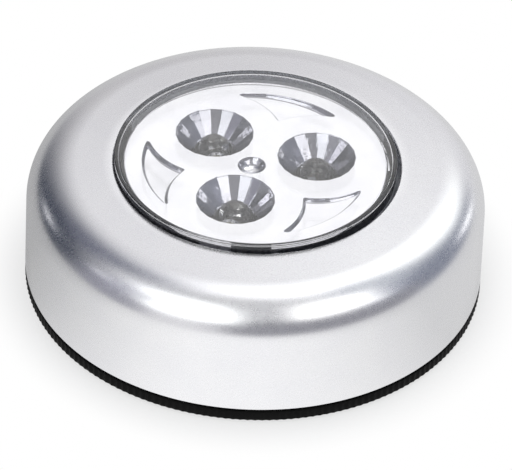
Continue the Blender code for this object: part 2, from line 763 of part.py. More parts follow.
def make_lens_cap():
    clear = new_material("clear_polystyrene", (0.95, 0.96, 0.97), 0.03, alpha=0.25)
    flat_end = LENS_RADIUS - LENS_EDGE
    knee = flat_end * CROWN_KNEE_SHARE
    knee_rise = LENS_CROWN * (1 - CROWN_KNEE_SHARE**2)
    outside = [(0, LENS_SHOULDER + LENS_CROWN), (knee, LENS_SHOULDER + knee_rise)]
    for i in range(LENS_EDGE_POINTS + 1):
        radius, height = polar(LENS_EDGE, math.pi / 2 * (1 - i / LENS_EDGE_POINTS))
        outside.append((flat_end + radius, LENS_EDGE_HEIGHT + height))
    profile = outside + [
        (LENS_RADIUS, FLANGE_TOP),
        (FLANGE_RADIUS, FLANGE_TOP),
        (FLANGE_RADIUS, FLANGE_BOTTOM),
        (LENS_BORE, FLANGE_BOTTOM),
        (LENS_BORE, LENS_SHOULDER - LENS_TOP),
        (knee, LENS_SHOULDER - LENS_TOP + knee_rise),
        (0, LENS_SHOULDER - LENS_TOP + LENS_CROWN),
    ]
    cap = turned("lens_cap", profile, clear)
    clip_top = REFLECTOR_BACK - CLEARANCE
    clips = []
    for turn in corner_turns(CLIP_ANGLE):
        block = arc_block(LENS_BORE - CLIP_DEPTH, LENS_BORE + LENS_WALL / 2, turn, CLIP_HALF_ANGLE)
        clips.append(slab("clip", [block], clip_top - CLIP_HEIGHT, clip_top))
    for clip in clips:
        add(cap, clip)


def pocket_outline(middle):
    """A fan between two cups: an outer arc, and two sides that follow the cups' rims."""
    half = POCKET_HALF_ANGLE
    count = POCKET_POINTS
    outline = [polar(POCKET_RADIUS, middle - half + 2 * half * i / (count - 1)) for i in range(count)]
    for side in (1, -1):
        cup = polar(CUP_OFFSET, middle + side * HALF_STEP)
        outer = polar(POCKET_RADIUS, middle + side * half)
        reach = math.dist(cup, (0, 0)) * math.cos(HALF_STEP)
        across = math.dist(cup, (0, 0)) * math.sin(HALF_STEP)
        tip = polar(reach + math.sqrt(POCKET_CUP_RADIUS**2 - across**2), middle)
        start = math.atan2(outer[1] - cup[1], outer[0] - cup[0])
        end = math.atan2(tip[1] - cup[1], tip[0] - cup[0])
        sweep = (end - start + math.pi) % (2 * math.pi) - math.pi
        stretch = []
        for i in range(1, count):
            x, y = polar(POCKET_CUP_RADIUS, start + sweep * i / (count - 1))
            stretch.append((cup[0] + x, cup[1] + y))
        outline += stretch if side > 0 else list(reversed(stretch[:-1]))
    return outline


def make_reflector():
    chrome = new_material("metallised_reflector", (0.86, 0.86, 0.88), 0.12, metallic=1.0)
    plate = slab("reflector", [ring(REFLECTOR_RADIUS)], REFLECTOR_BACK, REFLECTOR_FACE, chrome)
    skin = CUP_SKIN
    sleeve_end = CUP_BOTTOM - SLEEVE_LENGTH
    inside = (REFLECTOR_FACE + REFLECTOR_BACK) / 2
    slope = (CUP_RADIUS - SLEEVE_BORE) / CUP_DEPTH
    cup = [
        (0, inside),
        (SLEEVE_BORE + skin + slope * (inside - CUP_BOTTOM), inside),
        (SLEEVE_BORE + skin, CUP_BOTTOM),
        (SLEEVE_BORE + skin, sleeve_end),
        (0, sleeve_end),
    ]
    hollow = [
        (0, REFLECTOR_FACE + OVERRUN),
        (CUP_RADIUS + slope * OVERRUN, REFLECTOR_FACE + OVERRUN),
        (SLEEVE_BORE, CUP_BOTTOM),
        (SLEEVE_BORE, sleeve_end - OVERRUN),
        (0, sleeve_end - OVERRUN),
    ]
    added = []
    removed = []
    for corner in corner_turns():
        centre = (*polar(CUP_OFFSET, corner), 0)
        shell = turned("cup_shell", cup, steps=CUP_SIDES * 2)
        shell.location = centre
        added.append(shell)
        void = turned("cup_hollow", hollow, steps=CUP_SIDES)
        void.location = centre
        removed.append(void)
    for middle in side_turns():
        centre = polar(POST_OFFSET, middle)
        added.append(rod("post", POST_RADIUS, BOARD_TOP + CLEARANCE, inside, centre))
        pilot_top = BOARD_TOP + 2 * CLEARANCE + SCREW_BITE
        removed.append(rod("pilot", SCREW_HOLE, BOARD_TOP - OVERRUN, pilot_top, centre))
        pocket = pocket_outline(middle)
        removed.append(slab("pocket", [pocket], REFLECTOR_FACE - POCKET_DEPTH, REFLECTOR_FACE + OVERRUN))
    for turn in corner_turns(EAR_ANGLE):
        ear = arc_block(REFLECTOR_RADIUS - EAR_THICKNESS, LENS_BORE - CLEARANCE, turn, EAR_HALF_ANGLE)
        low = REFLECTOR_BACK + CLEARANCE
        added.append(slab("ear", [ear], low, low + EAR_THICKNESS))
    for tool in added:
        add(plate, tool)
    ball = bpy.data.meshes.new("dimple")
    shape = bmesh.new()
    lift = REFLECTOR_FACE + DIMPLE_RADIUS - DIMPLE_DEPTH
    place = Matrix.Translation((0, 0, lift))
    bmesh.ops.create_uvsphere(
        shape,
        u_segments=SMALL_STEPS,
        v_segments=SMALL_STEPS,
        radius=DIMPLE_RADIUS,
        matrix=place,
    )
    shape.to_mesh(ball)
    shape.free()
    removed.append(put("dimple", ball))
    cut(plate, joined("reflector_hollows", removed))


def lead_places(corner):
    """Where the two leads of the LED in this direction go through the board."""
    x, y = polar(CUP_OFFSET, corner)
    dx, dy = polar(LEAD_SPACING / 2, corner + math.pi / 2)
    return [(x + dx, y + dy), (x - dx, y - dy)]


def make_leds():
    epoxy = new_material("clear_epoxy", (0.93, 0.94, 0.90), 0.05, alpha=0.4)
    top = LED_BOTTOM + LED_HEIGHT
    dome = LED_RADIUS
    profile = []
    for i in range(LED_DOME_POINTS + 1):
        radius, height = polar(dome, math.pi / 2 * (1 - i / LED_DOME_POINTS))
        profile.append((radius if i else 0, top - dome + height))
    profile += [
        (dome, LED_BOTTOM + LED_FLANGE_HEIGHT),
        (LED_FLANGE_RADIUS, LED_BOTTOM + LED_FLANGE_HEIGHT),
        (LED_FLANGE_RADIUS, LED_BOTTOM),
        (0, LED_BOTTOM),
    ]
    for i, corner in enumerate(corner_turns(), 1):
        led = turned(f"led_{i}", profile, epoxy, steps=LED_STEPS)
        led.location = (*polar(CUP_OFFSET, corner), 0)
        low = BOARD_BOTTOM - LEAD_BELOW
        high = LED_BOTTOM + LED_FLANGE_HEIGHT / 2
        leads = [rod("lead", LEAD_RADIUS, low, high, place, LEAD_SIDES) for place in lead_places(corner)]
        add(led, joined(f"leads_{i}", leads))


def resistor_lead_places():
    x, y = polar(RESISTOR_OFFSET, RESISTOR_TURN)
    dx, dy = polar(RESISTOR_LEAD_SPAN, RESISTOR_TURN + math.pi / 2)
    return [(x - dx, y - dy), (x + dx, y + dy)]


def board_outline():
    """A round board, cut flat where it would meet the well's flat sides."""
    flat = WELL_FLAT - CLEARANCE
    outline = []
    for corner in corner_turns():
        for i in range(2 * SMALL_STEPS):
            turn = HALF_STEP * (i / SMALL_STEPS - 1)
            reach = min(BOARD_RADIUS, flat / math.cos(HALF_STEP - abs(turn)))
            outline.append(polar(reach, corner + turn))
    return outline


def make_board():
    brown = new_material("circuit_board", (0.30, 0.24, 0.10), 0.5)
    holes = [ring(SCREW_HOLE, SMALL_STEPS, polar(POST_OFFSET, middle)) for middle in side_turns()]
    places = [place for corner in corner_turns() for place in lead_places(corner)]
    for place in places + resistor_lead_places():
        holes.append(ring(LEAD_RADIUS + CLEARANCE, LEAD_SIDES, place))
    slab("led_board", [board_outline(), *holes], BOARD_BOTTOM, BOARD_TOP, brown)


def make_resistor():
    beige = new_material("resistor_lacquer", (0.62, 0.48, 0.30), 0.4)
    height = BOARD_BOTTOM - CLEARANCE - RESISTOR_RADIUS
    first, last = resistor_lead_places()
    top = BOARD_BOTTOM + BOARD_THICKNESS / 2
    path = [(*first, top), (*first, height), (*last, height), (*last, top)]
    lead = as_mesh(tube("resistor_leads", path, LEAD_RADIUS), "resistor", beige)
    mesh = bpy.data.meshes.new("resistor_body")
    shape = bmesh.new()
    centre = Vector((*polar(RESISTOR_OFFSET, RESISTOR_TURN), height))
    lay_down = Matrix.Rotation(math.pi / 2, 4, "X")
    place = Matrix.Translation(centre) @ Matrix.Rotation(RESISTOR_TURN, 4, "Z") @ lay_down
    bmesh.ops.create_cone(
        shape,
        cap_ends=True,
        segments=SMALL_STEPS,
        radius1=RESISTOR_RADIUS,
        radius2=RESISTOR_RADIUS,
        depth=2 * RESISTOR_HALF_LENGTH,
        matrix=place,
    )
    shape.to_mesh(mesh)
    shape.free()
    add(lead, put("resistor_body", mesh))


def make_switch():
    dark = new_material("switch_nylon", (0.03, 0.03, 0.035), 0.5)
    white = new_material("plunger_acetal", (0.80, 0.80, 0.78), 0.4)
    steel = new_material("spring_steel", (0.5, 0.5, 0.52), 0.3, metallic=1.0)
    half = SWITCH_SIDE / 2
    square = [(half, half), (-half, half), (-half, -half), (half, -half)]
    body = slab("switch_body", [square], SWITCH_BOTTOM, SWITCH_TOP, dark)
    cavity_low = SWITCH_BOTTOM + SWITCH_LIP
    cavity_high = SWITCH_TOP - SWITCH_LIP
    mouth = PLUNGER_RADIUS + CLEARANCE
    hollow = [
        (0, cavity_high),
        (SWITCH_CAVITY_RADIUS, cavity_high),
        (SWITCH_CAVITY_RADIUS, cavity_low),
        (mouth, cavity_low),
        (mouth, SWITCH_BOTTOM - OVERRUN),
        (0, SWITCH_BOTTOM - OVERRUN),
    ]
    cut(body, turned("switch_hollow", hollow, steps=SMALL_STEPS * 2))
    flange_low = cavity_low + CLEARANCE
    flange_high = flange_low + PLUNGER_FLANGE_HEIGHT
    bore_floor = PLUNGER_BOTTOM + PLUNGER_TIP
    plunger = [
        (0, bore_floor),
        (PLUNGER_BORE_RADIUS, bore_floor),
        (PLUNGER_BORE_RADIUS, flange_high),
        (PLUNGER_FLANGE_RADIUS, flange_high),
        (PLUNGER_FLANGE_RADIUS, flange_low),
        (PLUNGER_RADIUS, flange_low),
        (PLUNGER_RADIUS, PLUNGER_BOTTOM),
        (0, PLUNGER_BOTTOM),
    ]
    turned("switch_plunger", plunger, white, steps=SMALL_STEPS * 2)
    low = bore_floor + CLEARANCE + RETURN_WIRE_RADIUS
    high = cavity_high - CLEARANCE - RETURN_WIRE_RADIUS
    path = coil_path(low, high, RETURN_RADIUS, RETURN_RADIUS, RETURN_TURNS)
    print("least gap in the return spring", round(least_coil_gap(path, RETURN_WIRE_RADIUS), 6))
    tube("switch_spring", path, RETURN_WIRE_RADIUS, steel, resolution=1)


for old in list(bpy.data.objects):
    bpy.data.objects.remove(old)
PARTS = new_collection("closet_light")
CUTTERS = new_collection("cutters")
make_pad()
make_base_cover()
make_housing()
make_chassis()
make_cells()
make_contacts()
make_wires()
make_screws()
make_lens_cap()
make_reflector()
make_leds()
make_board()
make_resistor()
make_switch()
print("body radius", round(BODY_RADIUS, 5), "height", round(LENS_SHOULDER + LENS_CROWN, 5))
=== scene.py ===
# %% [markdown]
# # A round push-on closet light
#
# A battery light of this kind is stuck inside a closet and switched on by pressing its lens. The
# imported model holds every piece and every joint, and it is loaded first and stays as it is. What
# shows is then made again on top of it as fine surfaces, and what is hidden inside gets the finish
# of its real material. Lengths below are millimetres, and the value MM turns them into metres.

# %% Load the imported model
import math

import bmesh
import bpy
import numpy as np
from mathutils.geometry import delaunay_2d_cdt
from mathutils import Matrix, Vector


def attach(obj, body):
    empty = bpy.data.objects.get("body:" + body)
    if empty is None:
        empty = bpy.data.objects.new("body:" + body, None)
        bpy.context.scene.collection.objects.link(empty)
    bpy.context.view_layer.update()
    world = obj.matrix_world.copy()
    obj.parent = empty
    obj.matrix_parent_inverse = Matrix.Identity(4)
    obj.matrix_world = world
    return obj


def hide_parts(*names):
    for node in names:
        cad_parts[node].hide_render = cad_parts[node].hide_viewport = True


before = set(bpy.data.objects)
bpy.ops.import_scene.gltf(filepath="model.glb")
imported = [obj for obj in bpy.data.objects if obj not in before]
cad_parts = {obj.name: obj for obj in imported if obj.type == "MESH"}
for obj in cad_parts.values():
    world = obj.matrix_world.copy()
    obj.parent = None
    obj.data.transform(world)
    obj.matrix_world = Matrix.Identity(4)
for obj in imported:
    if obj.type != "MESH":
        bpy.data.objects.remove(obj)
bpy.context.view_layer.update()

# %% [markdown]
# ## The camera
#
# The camera looks down on the light from the front. Its place comes from the rim's outline: a
# circle 70 mm wide is seen as an ellipse, whose width gives the distance and whose height gives the
# angle. A long lens stands far off, as it does for a product picture, so the circle hardly tapers.

# %% Camera
MM = 0.001
VIEW_AZIMUTH = math.radians(-12.8)
VIEW_ELEVATION = math.radians(39.48)
VIEW_ROLL = math.radians(2.365)
VIEW_DISTANCE = 769.8 * MM
AIM_RIGHT = 0.49 * MM
AIM_UP = 5.56 * MM
RIM_BOTTOM = Vector((0, 0, 0.5 * MM))
FOCAL_LENGTH = 351.56
NEAREST = 10 * MM

level, rise = math.cos(VIEW_ELEVATION), math.sin(VIEW_ELEVATION)
back = Vector((math.sin(VIEW_AZIMUTH) * level, -math.cos(VIEW_AZIMUTH) * level, rise))
flat_right = Vector((math.cos(VIEW_AZIMUTH), math.sin(VIEW_AZIMUTH), 0))
flat_up = back.cross(flat_right)
right = flat_right * math.cos(VIEW_ROLL) + flat_up * math.sin(VIEW_ROLL)
up = flat_up * math.cos(VIEW_ROLL) - flat_right * math.sin(VIEW_ROLL)
stand = RIM_BOTTOM + back * VIEW_DISTANCE
toward = (stand - RIM_BOTTOM - right * AIM_RIGHT - up * AIM_UP).normalized()
across = up.cross(toward).normalized()

camera_data = bpy.data.cameras.new("studio_camera")
camera_data.lens = FOCAL_LENGTH
camera_data.clip_start = NEAREST
camera = bpy.data.objects.new("studio_camera", camera_data)
axes = Matrix((across, toward.cross(across), toward)).transposed()
camera.matrix_world = Matrix.Translation(stand) @ axes.to_4x4()
bpy.context.scene.collection.objects.link(camera)
bpy.context.scene.camera = camera
print("camera at", [round(value, 4) for value in stand])

# %% [markdown]
# ## Colours and nodes
#
# A colour is written as the sRGB hex value that a paint chart would give, and the renderer works in
# linear light, so one function turns one into the other. Another adds a node with its settings and
# links, which keeps every material below short enough to read.

# %% Helpers for materials
GAMMA_KNEE = 0.04045
# Nearly all values of a noise texture lie between these two.
NOISE_SPAN = {"From Min": 0.3, "From Max": 0.7}
# The places of a Mix node's two colours and of the mixed colour among its sockets.
FIRST, SECOND, MIXED = 6, 7, 2


def linear(code):
    """Each sRGB part c becomes c / 12.92 below the knee, and ((c + 0.055) / 1.055) to 2.4 above."""
    parts = np.array([int(code[i : i + 2], 16) for i in (0, 2, 4)]) / 255
    curve = ((parts + 0.055) / 1.055) ** 2.4
    return (*np.where(parts < GAMMA_KNEE, parts / 12.92, curve).tolist(), 1.0)


def plug(tree, node, sockets):
    """Gives a node's sockets a value, or a link from an output or from a node's first output."""
    for key, value in sockets.items():
        if isinstance(value, bpy.types.Node):
            value = value.outputs[0]
        if isinstance(value, bpy.types.NodeSocket):
            tree.links.new(value, node.inputs[key])
        else:
            node.inputs[key].default_value = value


def add_node(tree, kind, sockets=None, **settings):
    """A node with its settings and sockets."""
    node = tree.nodes.new("ShaderNode" + kind)
    for name, value in settings.items():
        setattr(node, name, value)
    plug(tree, node, sockets or {})
    return node


def new_material(name, sockets):
    """A material with one Principled shader, and the Object coordinates that its patterns read."""
    material = bpy.data.materials.new(name)
    material.use_nodes = True
    tree = material.node_tree
    tree.nodes.clear()
    shader = add_node(tree, "BsdfPrincipled", sockets)
    end = add_node(tree, "OutputMaterial", {"Surface": shader.outputs["BSDF"]})
    place = add_node(tree, "TexCoord").outputs["Object"]
    return material, tree, shader, end, place


def per_metre(width):
    """A noise or cell texture's scale for a pattern whose spots are this many millimetres wide."""
    return 1 / (width * MM)


def make_finish(name, colours, rough, skin, height, cloud=6.0, **sockets):
    """A coating or moulded skin, which clouds between two close colours and has a fine grain.

    The grain, skin millimetres wide, moves the roughness between two values and stands up by height.
    """
    material, tree, shader, end, place = new_material(name, sockets)
    clouds = add_node(tree, "TexNoise", {"Vector": place, "Scale": per_metre(cloud)})
    shade = add_node(tree, "MapRange", {"Value": clouds, **NOISE_SPAN})
    ends = {"Factor": shade, FIRST: linear(colours[0]), SECOND: linear(colours[1])}
    colour = add_node(tree, "Mix", ends, data_type="RGBA")
    fine = add_node(tree, "TexNoise", {"Vector": place, "Scale": per_metre(skin)})
    span = {"Value": fine, **NOISE_SPAN, "To Min": rough[0], "To Max": rough[1]}
    gloss = add_node(tree, "MapRange", span)
    bump = add_node(tree, "Bump", {"Height": fine, "Distance": height * MM})
    plug(tree, shader, {"Base Color": colour.outputs[MIXED], "Roughness": gloss, "Normal": bump})
    return material, tree, shader, end, place


# %% [markdown]
# ## The studio
#
# Silver paint and chrome show the room more than any colour of their own. The room here is a white
# tent, with two soft boxes above and behind the camera, a bright panel behind on the right, darker
# cloths between them, and a few small bright strips that streak the sides of the reflector's cups.
# Each is a flat panel a long way off, in one direction, with soft edges, painted on the world's
# light, because that costs no lamps. The first 15 rows are rounded from a scratch program's fit to
# the photograph's brightness along the housing's shoulder. The 13th and the last seven are set one
# by one.

# %% World light
# Each row: azimuth to the right of the camera's side, elevation and roll in degrees, then half the
# width, half the height and the softness, all for a panel one unit away, and its light, red to blue.
ROOM = [
    (-162, 10, 14, 0.38, 0.35, 0.22, (0.55, 0.54, 0.55)),
    (-117, 13, -24, 0.63, 0.73, 0.4, (0.035, 0.043, 0.066)),
    (-69, 16, 2, 0.33, 0.31, 0.08, (0.29, 0.29, 0.34)),
    (111, 23, -6, 0.51, 0.39, 0.18, (0.2, 0.22, 0.28)),
    (35, 25, 1, 1.04, 0.37, 0.1, (0.25, 0.25, 0.28)),
    (0, 81, -1, 0.56, 0.22, 0.1, (0.48, 0.48, 0.49)),
    (-71, 43, 0, 0.13, 0.29, 0.05, (0.31, 0.31, 0.39)),
    (76, 42, 0, 0.2, 0.2, 0.05, (0.23, 0.25, 0.33)),
    (-36, 49, 14, 0.35, 0.36, 0.07, (2.11, 2.15, 2.11)),
    (47, 55, -3, 0.3, 0.26, 0.05, (2.28, 2.28, 2.23)),
    (138, 53, -3, 0.18, 0.5, 0.2, (1.87, 1.91, 1.87)),
    (179, 78, -1, 0.48, 0.17, 0.12, (1.71, 1.71, 1.71)),
    (9, 58, 0, 0.2, 0.29, 0.03, (0.37, 0.37, 0.39)),
    (-119, 57, 2, 0.19, 0.33, 0.2, (0.081, 0.090, 0.146)),
    (100, 58, -8, 0.16, 0.28, 0.06, (0.35, 0.38, 0.44)),
    (180, 40, 0, 0.12, 0.1, 0.05, (1.18, 1.18, 1.18)),
    (2, 36, 0, 0.12, 0.08, 0.04, (0.097, 0.097, 0.113)),
    (-56, 43, 0, 0.07, 0.12, 0.03, (0.41, 0.41, 0.45)),
    (126, 10, -35, 0.14, 0.04, 0.012, (2.4, 2.4, 2.4)),
    (-120, 14, 33, 0.08, 0.035, 0.012, (2.1, 2.1, 2.15)),
    (-84, 33, 30, 0.05, 0.05, 0.02, (1.8, 1.8, 1.85)),
    (70, 38, 0, 0.06, 0.06, 0.02, (1.9, 1.9, 1.9)),
]
TENT = (0.755, 0.75, 0.765)


def panel_axes(azimuth, elevation, roll):
    """A panel's own axes as the rows of a matrix: across it, up it, and the direction it hangs in."""
    turn, rise = math.radians(azimuth) + VIEW_AZIMUTH, math.radians(elevation)
    out = math.cos(rise)
    facing = Vector((math.sin(turn) * out, -math.cos(turn) * out, math.sin(rise)))
    level = Vector((math.cos(turn), math.sin(turn), 0))
    upright = facing.cross(level)
    tip = math.radians(roll)
    side = level * math.cos(tip) + upright * math.sin(tip)
    return Matrix((side, upright * math.cos(tip) - level * math.sin(tip), facing))


def light_the_room(room, tent):
    """For a direction d, a panel's mask is a smooth step of |d.x / d.z| times one of |d.y / d.z|.

    It fades out close to sideways, where the division would fail.
    """
    world = bpy.data.worlds.new("white_tent")
    world.use_nodes = True
    tree = world.node_tree
    tree.nodes.clear()
    direction = add_node(tree, "TexCoord").outputs["Generated"]
    light = (*tent, 1.0)
    for azimuth, elevation, roll, wide, tall, soft, colour in room:
        turn = panel_axes(azimuth, elevation, roll).to_euler()
        seen = add_node(tree, "Mapping", {"Vector": direction, "Rotation": turn})
        parts = add_node(tree, "SeparateXYZ", {"Vector": seen}).outputs
        ahead = {"Value": parts["Z"], "From Min": 0.02, "From Max": 0.12}
        mask = add_node(tree, "MapRange", ahead)
        depth = add_node(tree, "Math", {0: parts["Z"], 1: 0.001}, operation="MAXIMUM")
        for part, half in (("X", wide), ("Y", tall)):
            ratio = add_node(tree, "Math", {0: parts[part], 1: depth}, operation="DIVIDE")
            off = add_node(tree, "Math", {0: ratio}, operation="ABSOLUTE")
            edge = {"Value": off, "From Min": half + soft, "From Max": half - soft}
            step = add_node(tree, "MapRange", edge, interpolation_type="SMOOTHSTEP")
            mask = add_node(tree, "Math", {0: mask, 1: step}, operation="MULTIPLY")
        layers = {"Factor": mask, FIRST: light, SECOND: (*colour, 1.0)}
        light = add_node(tree, "Mix", layers, data_type="RGBA").outputs[MIXED]
    seen_directly = add_node(tree, "LightPath").outputs["Is Camera Ray"]
    backdrop = {"Factor": seen_directly, FIRST: light, SECOND: (1, 1, 1, 1)}
    shown = add_node(tree, "Mix", backdrop, data_type="RGBA").outputs[MIXED]
    add_node(tree, "OutputWorld", {"Surface": add_node(tree, "Background", {"Color": shown})})
    bpy.context.scene.world = world
    return len(tree.nodes)


print("world nodes", light_the_room(ROOM, TENT))
bpy.context.scene.view_settings.view_transform = "Standard"

# %% [markdown]
# ## The floor
#
# The light stands on a plain pale table. Close round the rim the table is an ordinary matt surface
# that takes the shadow, and further out it fades into clean white. The wall's lower part mirrors the
# table, and in the picture it falls off to both sides of its brightest stretch. So a pool of light is
# painted on the table's glow for reflected rays only: metal is shown the table as brightest on one side.

# %% Floor
FLOOR_RADIUS = 2500
FLOOR_SIDES = 96
# A hair below the pad's face, so that two surfaces in one plane don't flicker.
FLOOR_DROP = 0.02
FADE_START = 35
FADE_END = 43
LEAST_GLOW = 0.68
# A painted pool of light, for reflected rays only: metal is shown a dimmer table all round behind
# its bright stretch, and once more on the left.
# Each row: azimuth, the cosine from it at which the loss begins and is full, and the loss.
PAINTED_POOL_LOSSES = [(-14, 0.95, 0.2, 0.31), (-100, 0.15, 0.9, 0.24)]


def glow_share(tree, place, rays):
    """How much of the table glows: a smooth step of the distance for the view, and all for metal."""
    far = add_node(tree, "VectorMath", {0: place}, operation="LENGTH").outputs["Value"]
    reach = {"Value": far, "From Min": FADE_START * MM, "From Max": FADE_END * MM, "To Min": LEAST_GLOW}
    fade = add_node(tree, "MapRange", reach, interpolation_type="SMOOTHSTEP")
    seen = {0: rays["Is Camera Ray"], 1: fade}
    share = add_node(tree, "Math", seen, operation="MULTIPLY")
    for other in ("Is Glossy Ray", "Is Transmission Ray"):
        share = add_node(tree, "Math", {0: share, 1: rays[other]}, operation="MAXIMUM")
    return share


def painted_pool_strength(tree, place, rays):
    """Painted pool of light: 1, less the table's losses for a reflected ray, by the azimuth of the point it
    meets.
    """
    ahead = add_node(tree, "VectorMath", {0: place}, operation="NORMALIZE").outputs["Vector"]
    strength = 1.0
    for azimuth, begins, full, most in PAINTED_POOL_LOSSES:
        turn = math.radians(azimuth) + VIEW_AZIMUTH
        pair = {0: ahead, 1: (math.sin(turn), -math.cos(turn), 0)}
        facing = add_node(tree, "VectorMath", pair, operation="DOT_PRODUCT").outputs["Value"]
        span = {"Value": facing, "From Min": begins, "From Max": full, "To Max": -most}
        loss = add_node(tree, "MapRange", span)
        level = {0: loss, 1: rays["Is Glossy Ray"], 2: strength}
        strength = add_node(tree, "Math", level, operation="MULTIPLY_ADD")
    return strength


def make_floor():
    """A flat face round the origin, with its edge points at r cos t and r sin t."""
    turns = np.linspace(0, 2 * np.pi, FLOOR_SIDES, endpoint=False)
    edge = np.stack([np.cos(turns), np.sin(turns), np.zeros(FLOOR_SIDES)], -1) * FLOOR_RADIUS * MM
    edge[:, 2] -= FLOOR_DROP * MM
    mesh = bpy.data.meshes.new("floor")
    mesh.from_pydata(edge, [], [list(range(FLOOR_SIDES))])
    floor = bpy.data.objects.new("floor", mesh)
    bpy.context.scene.collection.objects.link(floor)
    matt = {"Base Color": linear("F2F2F2"), "Roughness": 0.9}
    material, tree, shader, end, place = new_material("pale_table", matt)
    rays = add_node(tree, "LightPath").outputs
    # For reflected rays the glow's strength carries a painted pool of light.
    glow = add_node(tree, "Emission", {"Strength": painted_pool_strength(tree, place, rays)})
    parts = {0: glow_share(tree, place, rays), 1: shader, 2: glow}
    plug(tree, end, {"Surface": add_node(tree, "MixShader", parts)})
    mesh.materials.append(material)
    print("floor nodes", len(tree.nodes))


make_floor()

# %% [markdown]
# ## From numbers to a mesh
#
# Every new piece is one or more shells. A shell is an array of points and an array of faces, worked
# out with numpy. Most are profiles turned round an axis, as on a lathe, or carried along an outline.
# One function joins a piece's shells, closes their seams and poles, and puts them on their body.

# %% Helpers for shapes
SEAM = 0.000002
FINE_TURN = 288


def grid_faces(rows, columns, closed=False):
    """Quads over points kept row by row: the last row joins the first, and so may the columns."""
    strips = columns if closed else columns - 1
    i, j = np.meshgrid(np.arange(rows), np.arange(strips), indexing="ij")
    k, m = (i + 1) % rows, (j + 1) % columns
    corners = [i * columns + j, k * columns + j, k * columns + m, i * columns + m]
    return np.stack(corners, -1).reshape(-1, 4)


def about(centre, r, t, *z):
    """Points at centre + (r cos t, r sin t), with their height z where it is given."""
    return np.stack([centre[0] + r * np.cos(t), centre[1] + r * np.sin(t), *z], -1)


def arc(centre, radii, start, stop, count):
    """Points at centre + (a cos t, b sin t), with t from one angle in degrees to another."""
    t = np.radians(np.linspace(start, stop, count))
    return np.stack([centre[0] + radii[0] * np.cos(t), centre[1] + radii[1] * np.sin(t)], -1)


def rounded(radius, height, size, start, stop, count=5):
    """An arc of one size about (radius, height), for an outline of (r, z)."""
    return arc((radius, height), (size, size), start, stop, count)


def turned(profile, steps=FINE_TURN, centre=(0, 0), closed=False, reach=None):
    """A profile of (r, z) that runs up the outside: x = r cos t and y = r sin t about the centre.

    reach(t, r, z) may change the radius as it goes round.
    """
    profile = np.asarray(profile, float)
    t = np.arange(steps)[:, None] * 2 * np.pi / steps
    r, z = (np.broadcast_to(profile[:, i], (steps, len(profile))) for i in (0, 1))
    if reach is not None:
        r = reach(t, r, z)
    return about(centre, r, t, z).reshape(-1, 3), grid_faces(steps, len(profile), closed)


def ring_block(inner, outer, middle, half, low, high, count=9):
    """A stretch of a ring with four sides, between two angles in degrees."""
    t = np.radians(np.linspace(middle - half, middle + half, count))[:, None]
    r, z = np.array([inner, outer, outer, inner]), np.array([low, low, high, high])
    points = about((0, 0), r, t, np.broadcast_to(z, (count, 4)))
    sides = grid_faces(count, 4, closed=True)[: (count - 1) * 4]
    ends = np.array([[0, 1, 2, 3], np.arange(3, -1, -1) + (count - 1) * 4])
    return points.reshape(-1, 3), np.concatenate([sides, ends])


def ring_blocks(turn, rows):
    """A ring block for each row of inner, outer, middle, half, low and high, all moved by a turn."""
    return [ring_block(row[0], row[1], turn + row[2], *row[3:]) for row in rows]


def upright_bar(radius, low, high, centre, steps=24):
    """A round bar, whose profile runs from the axis out, up and back."""
    return turned([(0, low), (radius, low), (radius, high), (0, high)], steps, centre)


def polar(radius, degrees):
    """The point (r cos t, r sin t)."""
    t = math.radians(degrees)
    return np.array([radius * math.cos(t), radius * math.sin(t)])


def make_piece(name, shells, material, body, replaced, sharp=28.0, moved=(0, 0)):
    """Joins shells as one mesh in metres, merges doubles, and shades it smooth below the sharp angle."""
    starts = np.cumsum([0] + [len(points) for points, _ in shells])
    faces = []
    for (_, corners), start in zip(shells, starts):
        faces += (np.asarray(corners) + start).tolist()
    mesh = bpy.data.meshes.new(name)
    place = np.concatenate([points for points, _ in shells]) + [*moved, 0]
    mesh.from_pydata(place * MM, [], faces)
    shape = bmesh.new()
    shape.from_mesh(mesh)
    bmesh.ops.remove_doubles(shape, verts=shape.verts, dist=SEAM)
    open_edges = sum(not edge.is_manifold for edge in shape.edges)
    shape.to_mesh(mesh)
    shape.free()
    mesh.shade_smooth()
    mesh.set_sharp_from_angle(angle=math.radians(sharp))
    mesh.materials.append(material)
    piece = bpy.data.objects.new(name, mesh)
    bpy.context.scene.collection.objects.link(piece)
    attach(piece, body)
    if replaced:
        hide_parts(*replaced)
    print(name, len(mesh.polygons), "faces,", open_edges, "open edges")
    return piece


# %% [markdown]
# ## Places that several pieces share
#
# The LEDs stand at the corners of a triangle, and the cells lie along its sides. The head, which is
# the lens cap and all that is fixed to it, slides in the housing's collar with a little play. In the
# picture it rests to the left, so the dark gap round the lens is wider on the right.

# %% Shared places
PLAY = np.array([-0.26, 0.06])
SIDES = (60, 180, 300)
CORNERS = (0, 120, 240)
print("play", round(float(np.hypot(*PLAY)), 2), "mm")

# %% [markdown]
# ## The housing
#
# The housing is moulded ABS sprayed with a satin silver lacquer. Its wall rises almost straight,
# turns over in a broad quarter of an ellipse, and runs up a faint slope to a rounded lip round the
# lens. It could be a turned curve with a Screw modifier, but in an array of points each arc has just
# the points it needs, from five on the foot to 56 on the shoulder.

# %% Housing shape
BODY_RADIUS = 35.0
HOUSING_BOTTOM = 2.6
LIP_HEIGHT = 21.9
LIP_RADIUS = 22.5
LIP_ROUND = 0.3
LIP_START = 83
SLOPE = 0.12
SLOPE_RADII = (27.1, 22.9)
OPENING_RADIUS = 21.72
SHOULDER_CENTRE = (26.084, 14.529)
SHOULDER_SIZE = (8.8, 6.86)
SHOULDER_END = 81.25
HOUSING_WALL = 1.4
BORE = 33.6
COLLAR = 23.3
COLLAR_BOTTOM = 18.7
COLLAR_BEVEL = 0.1
FOOT_ROUND = 0.2
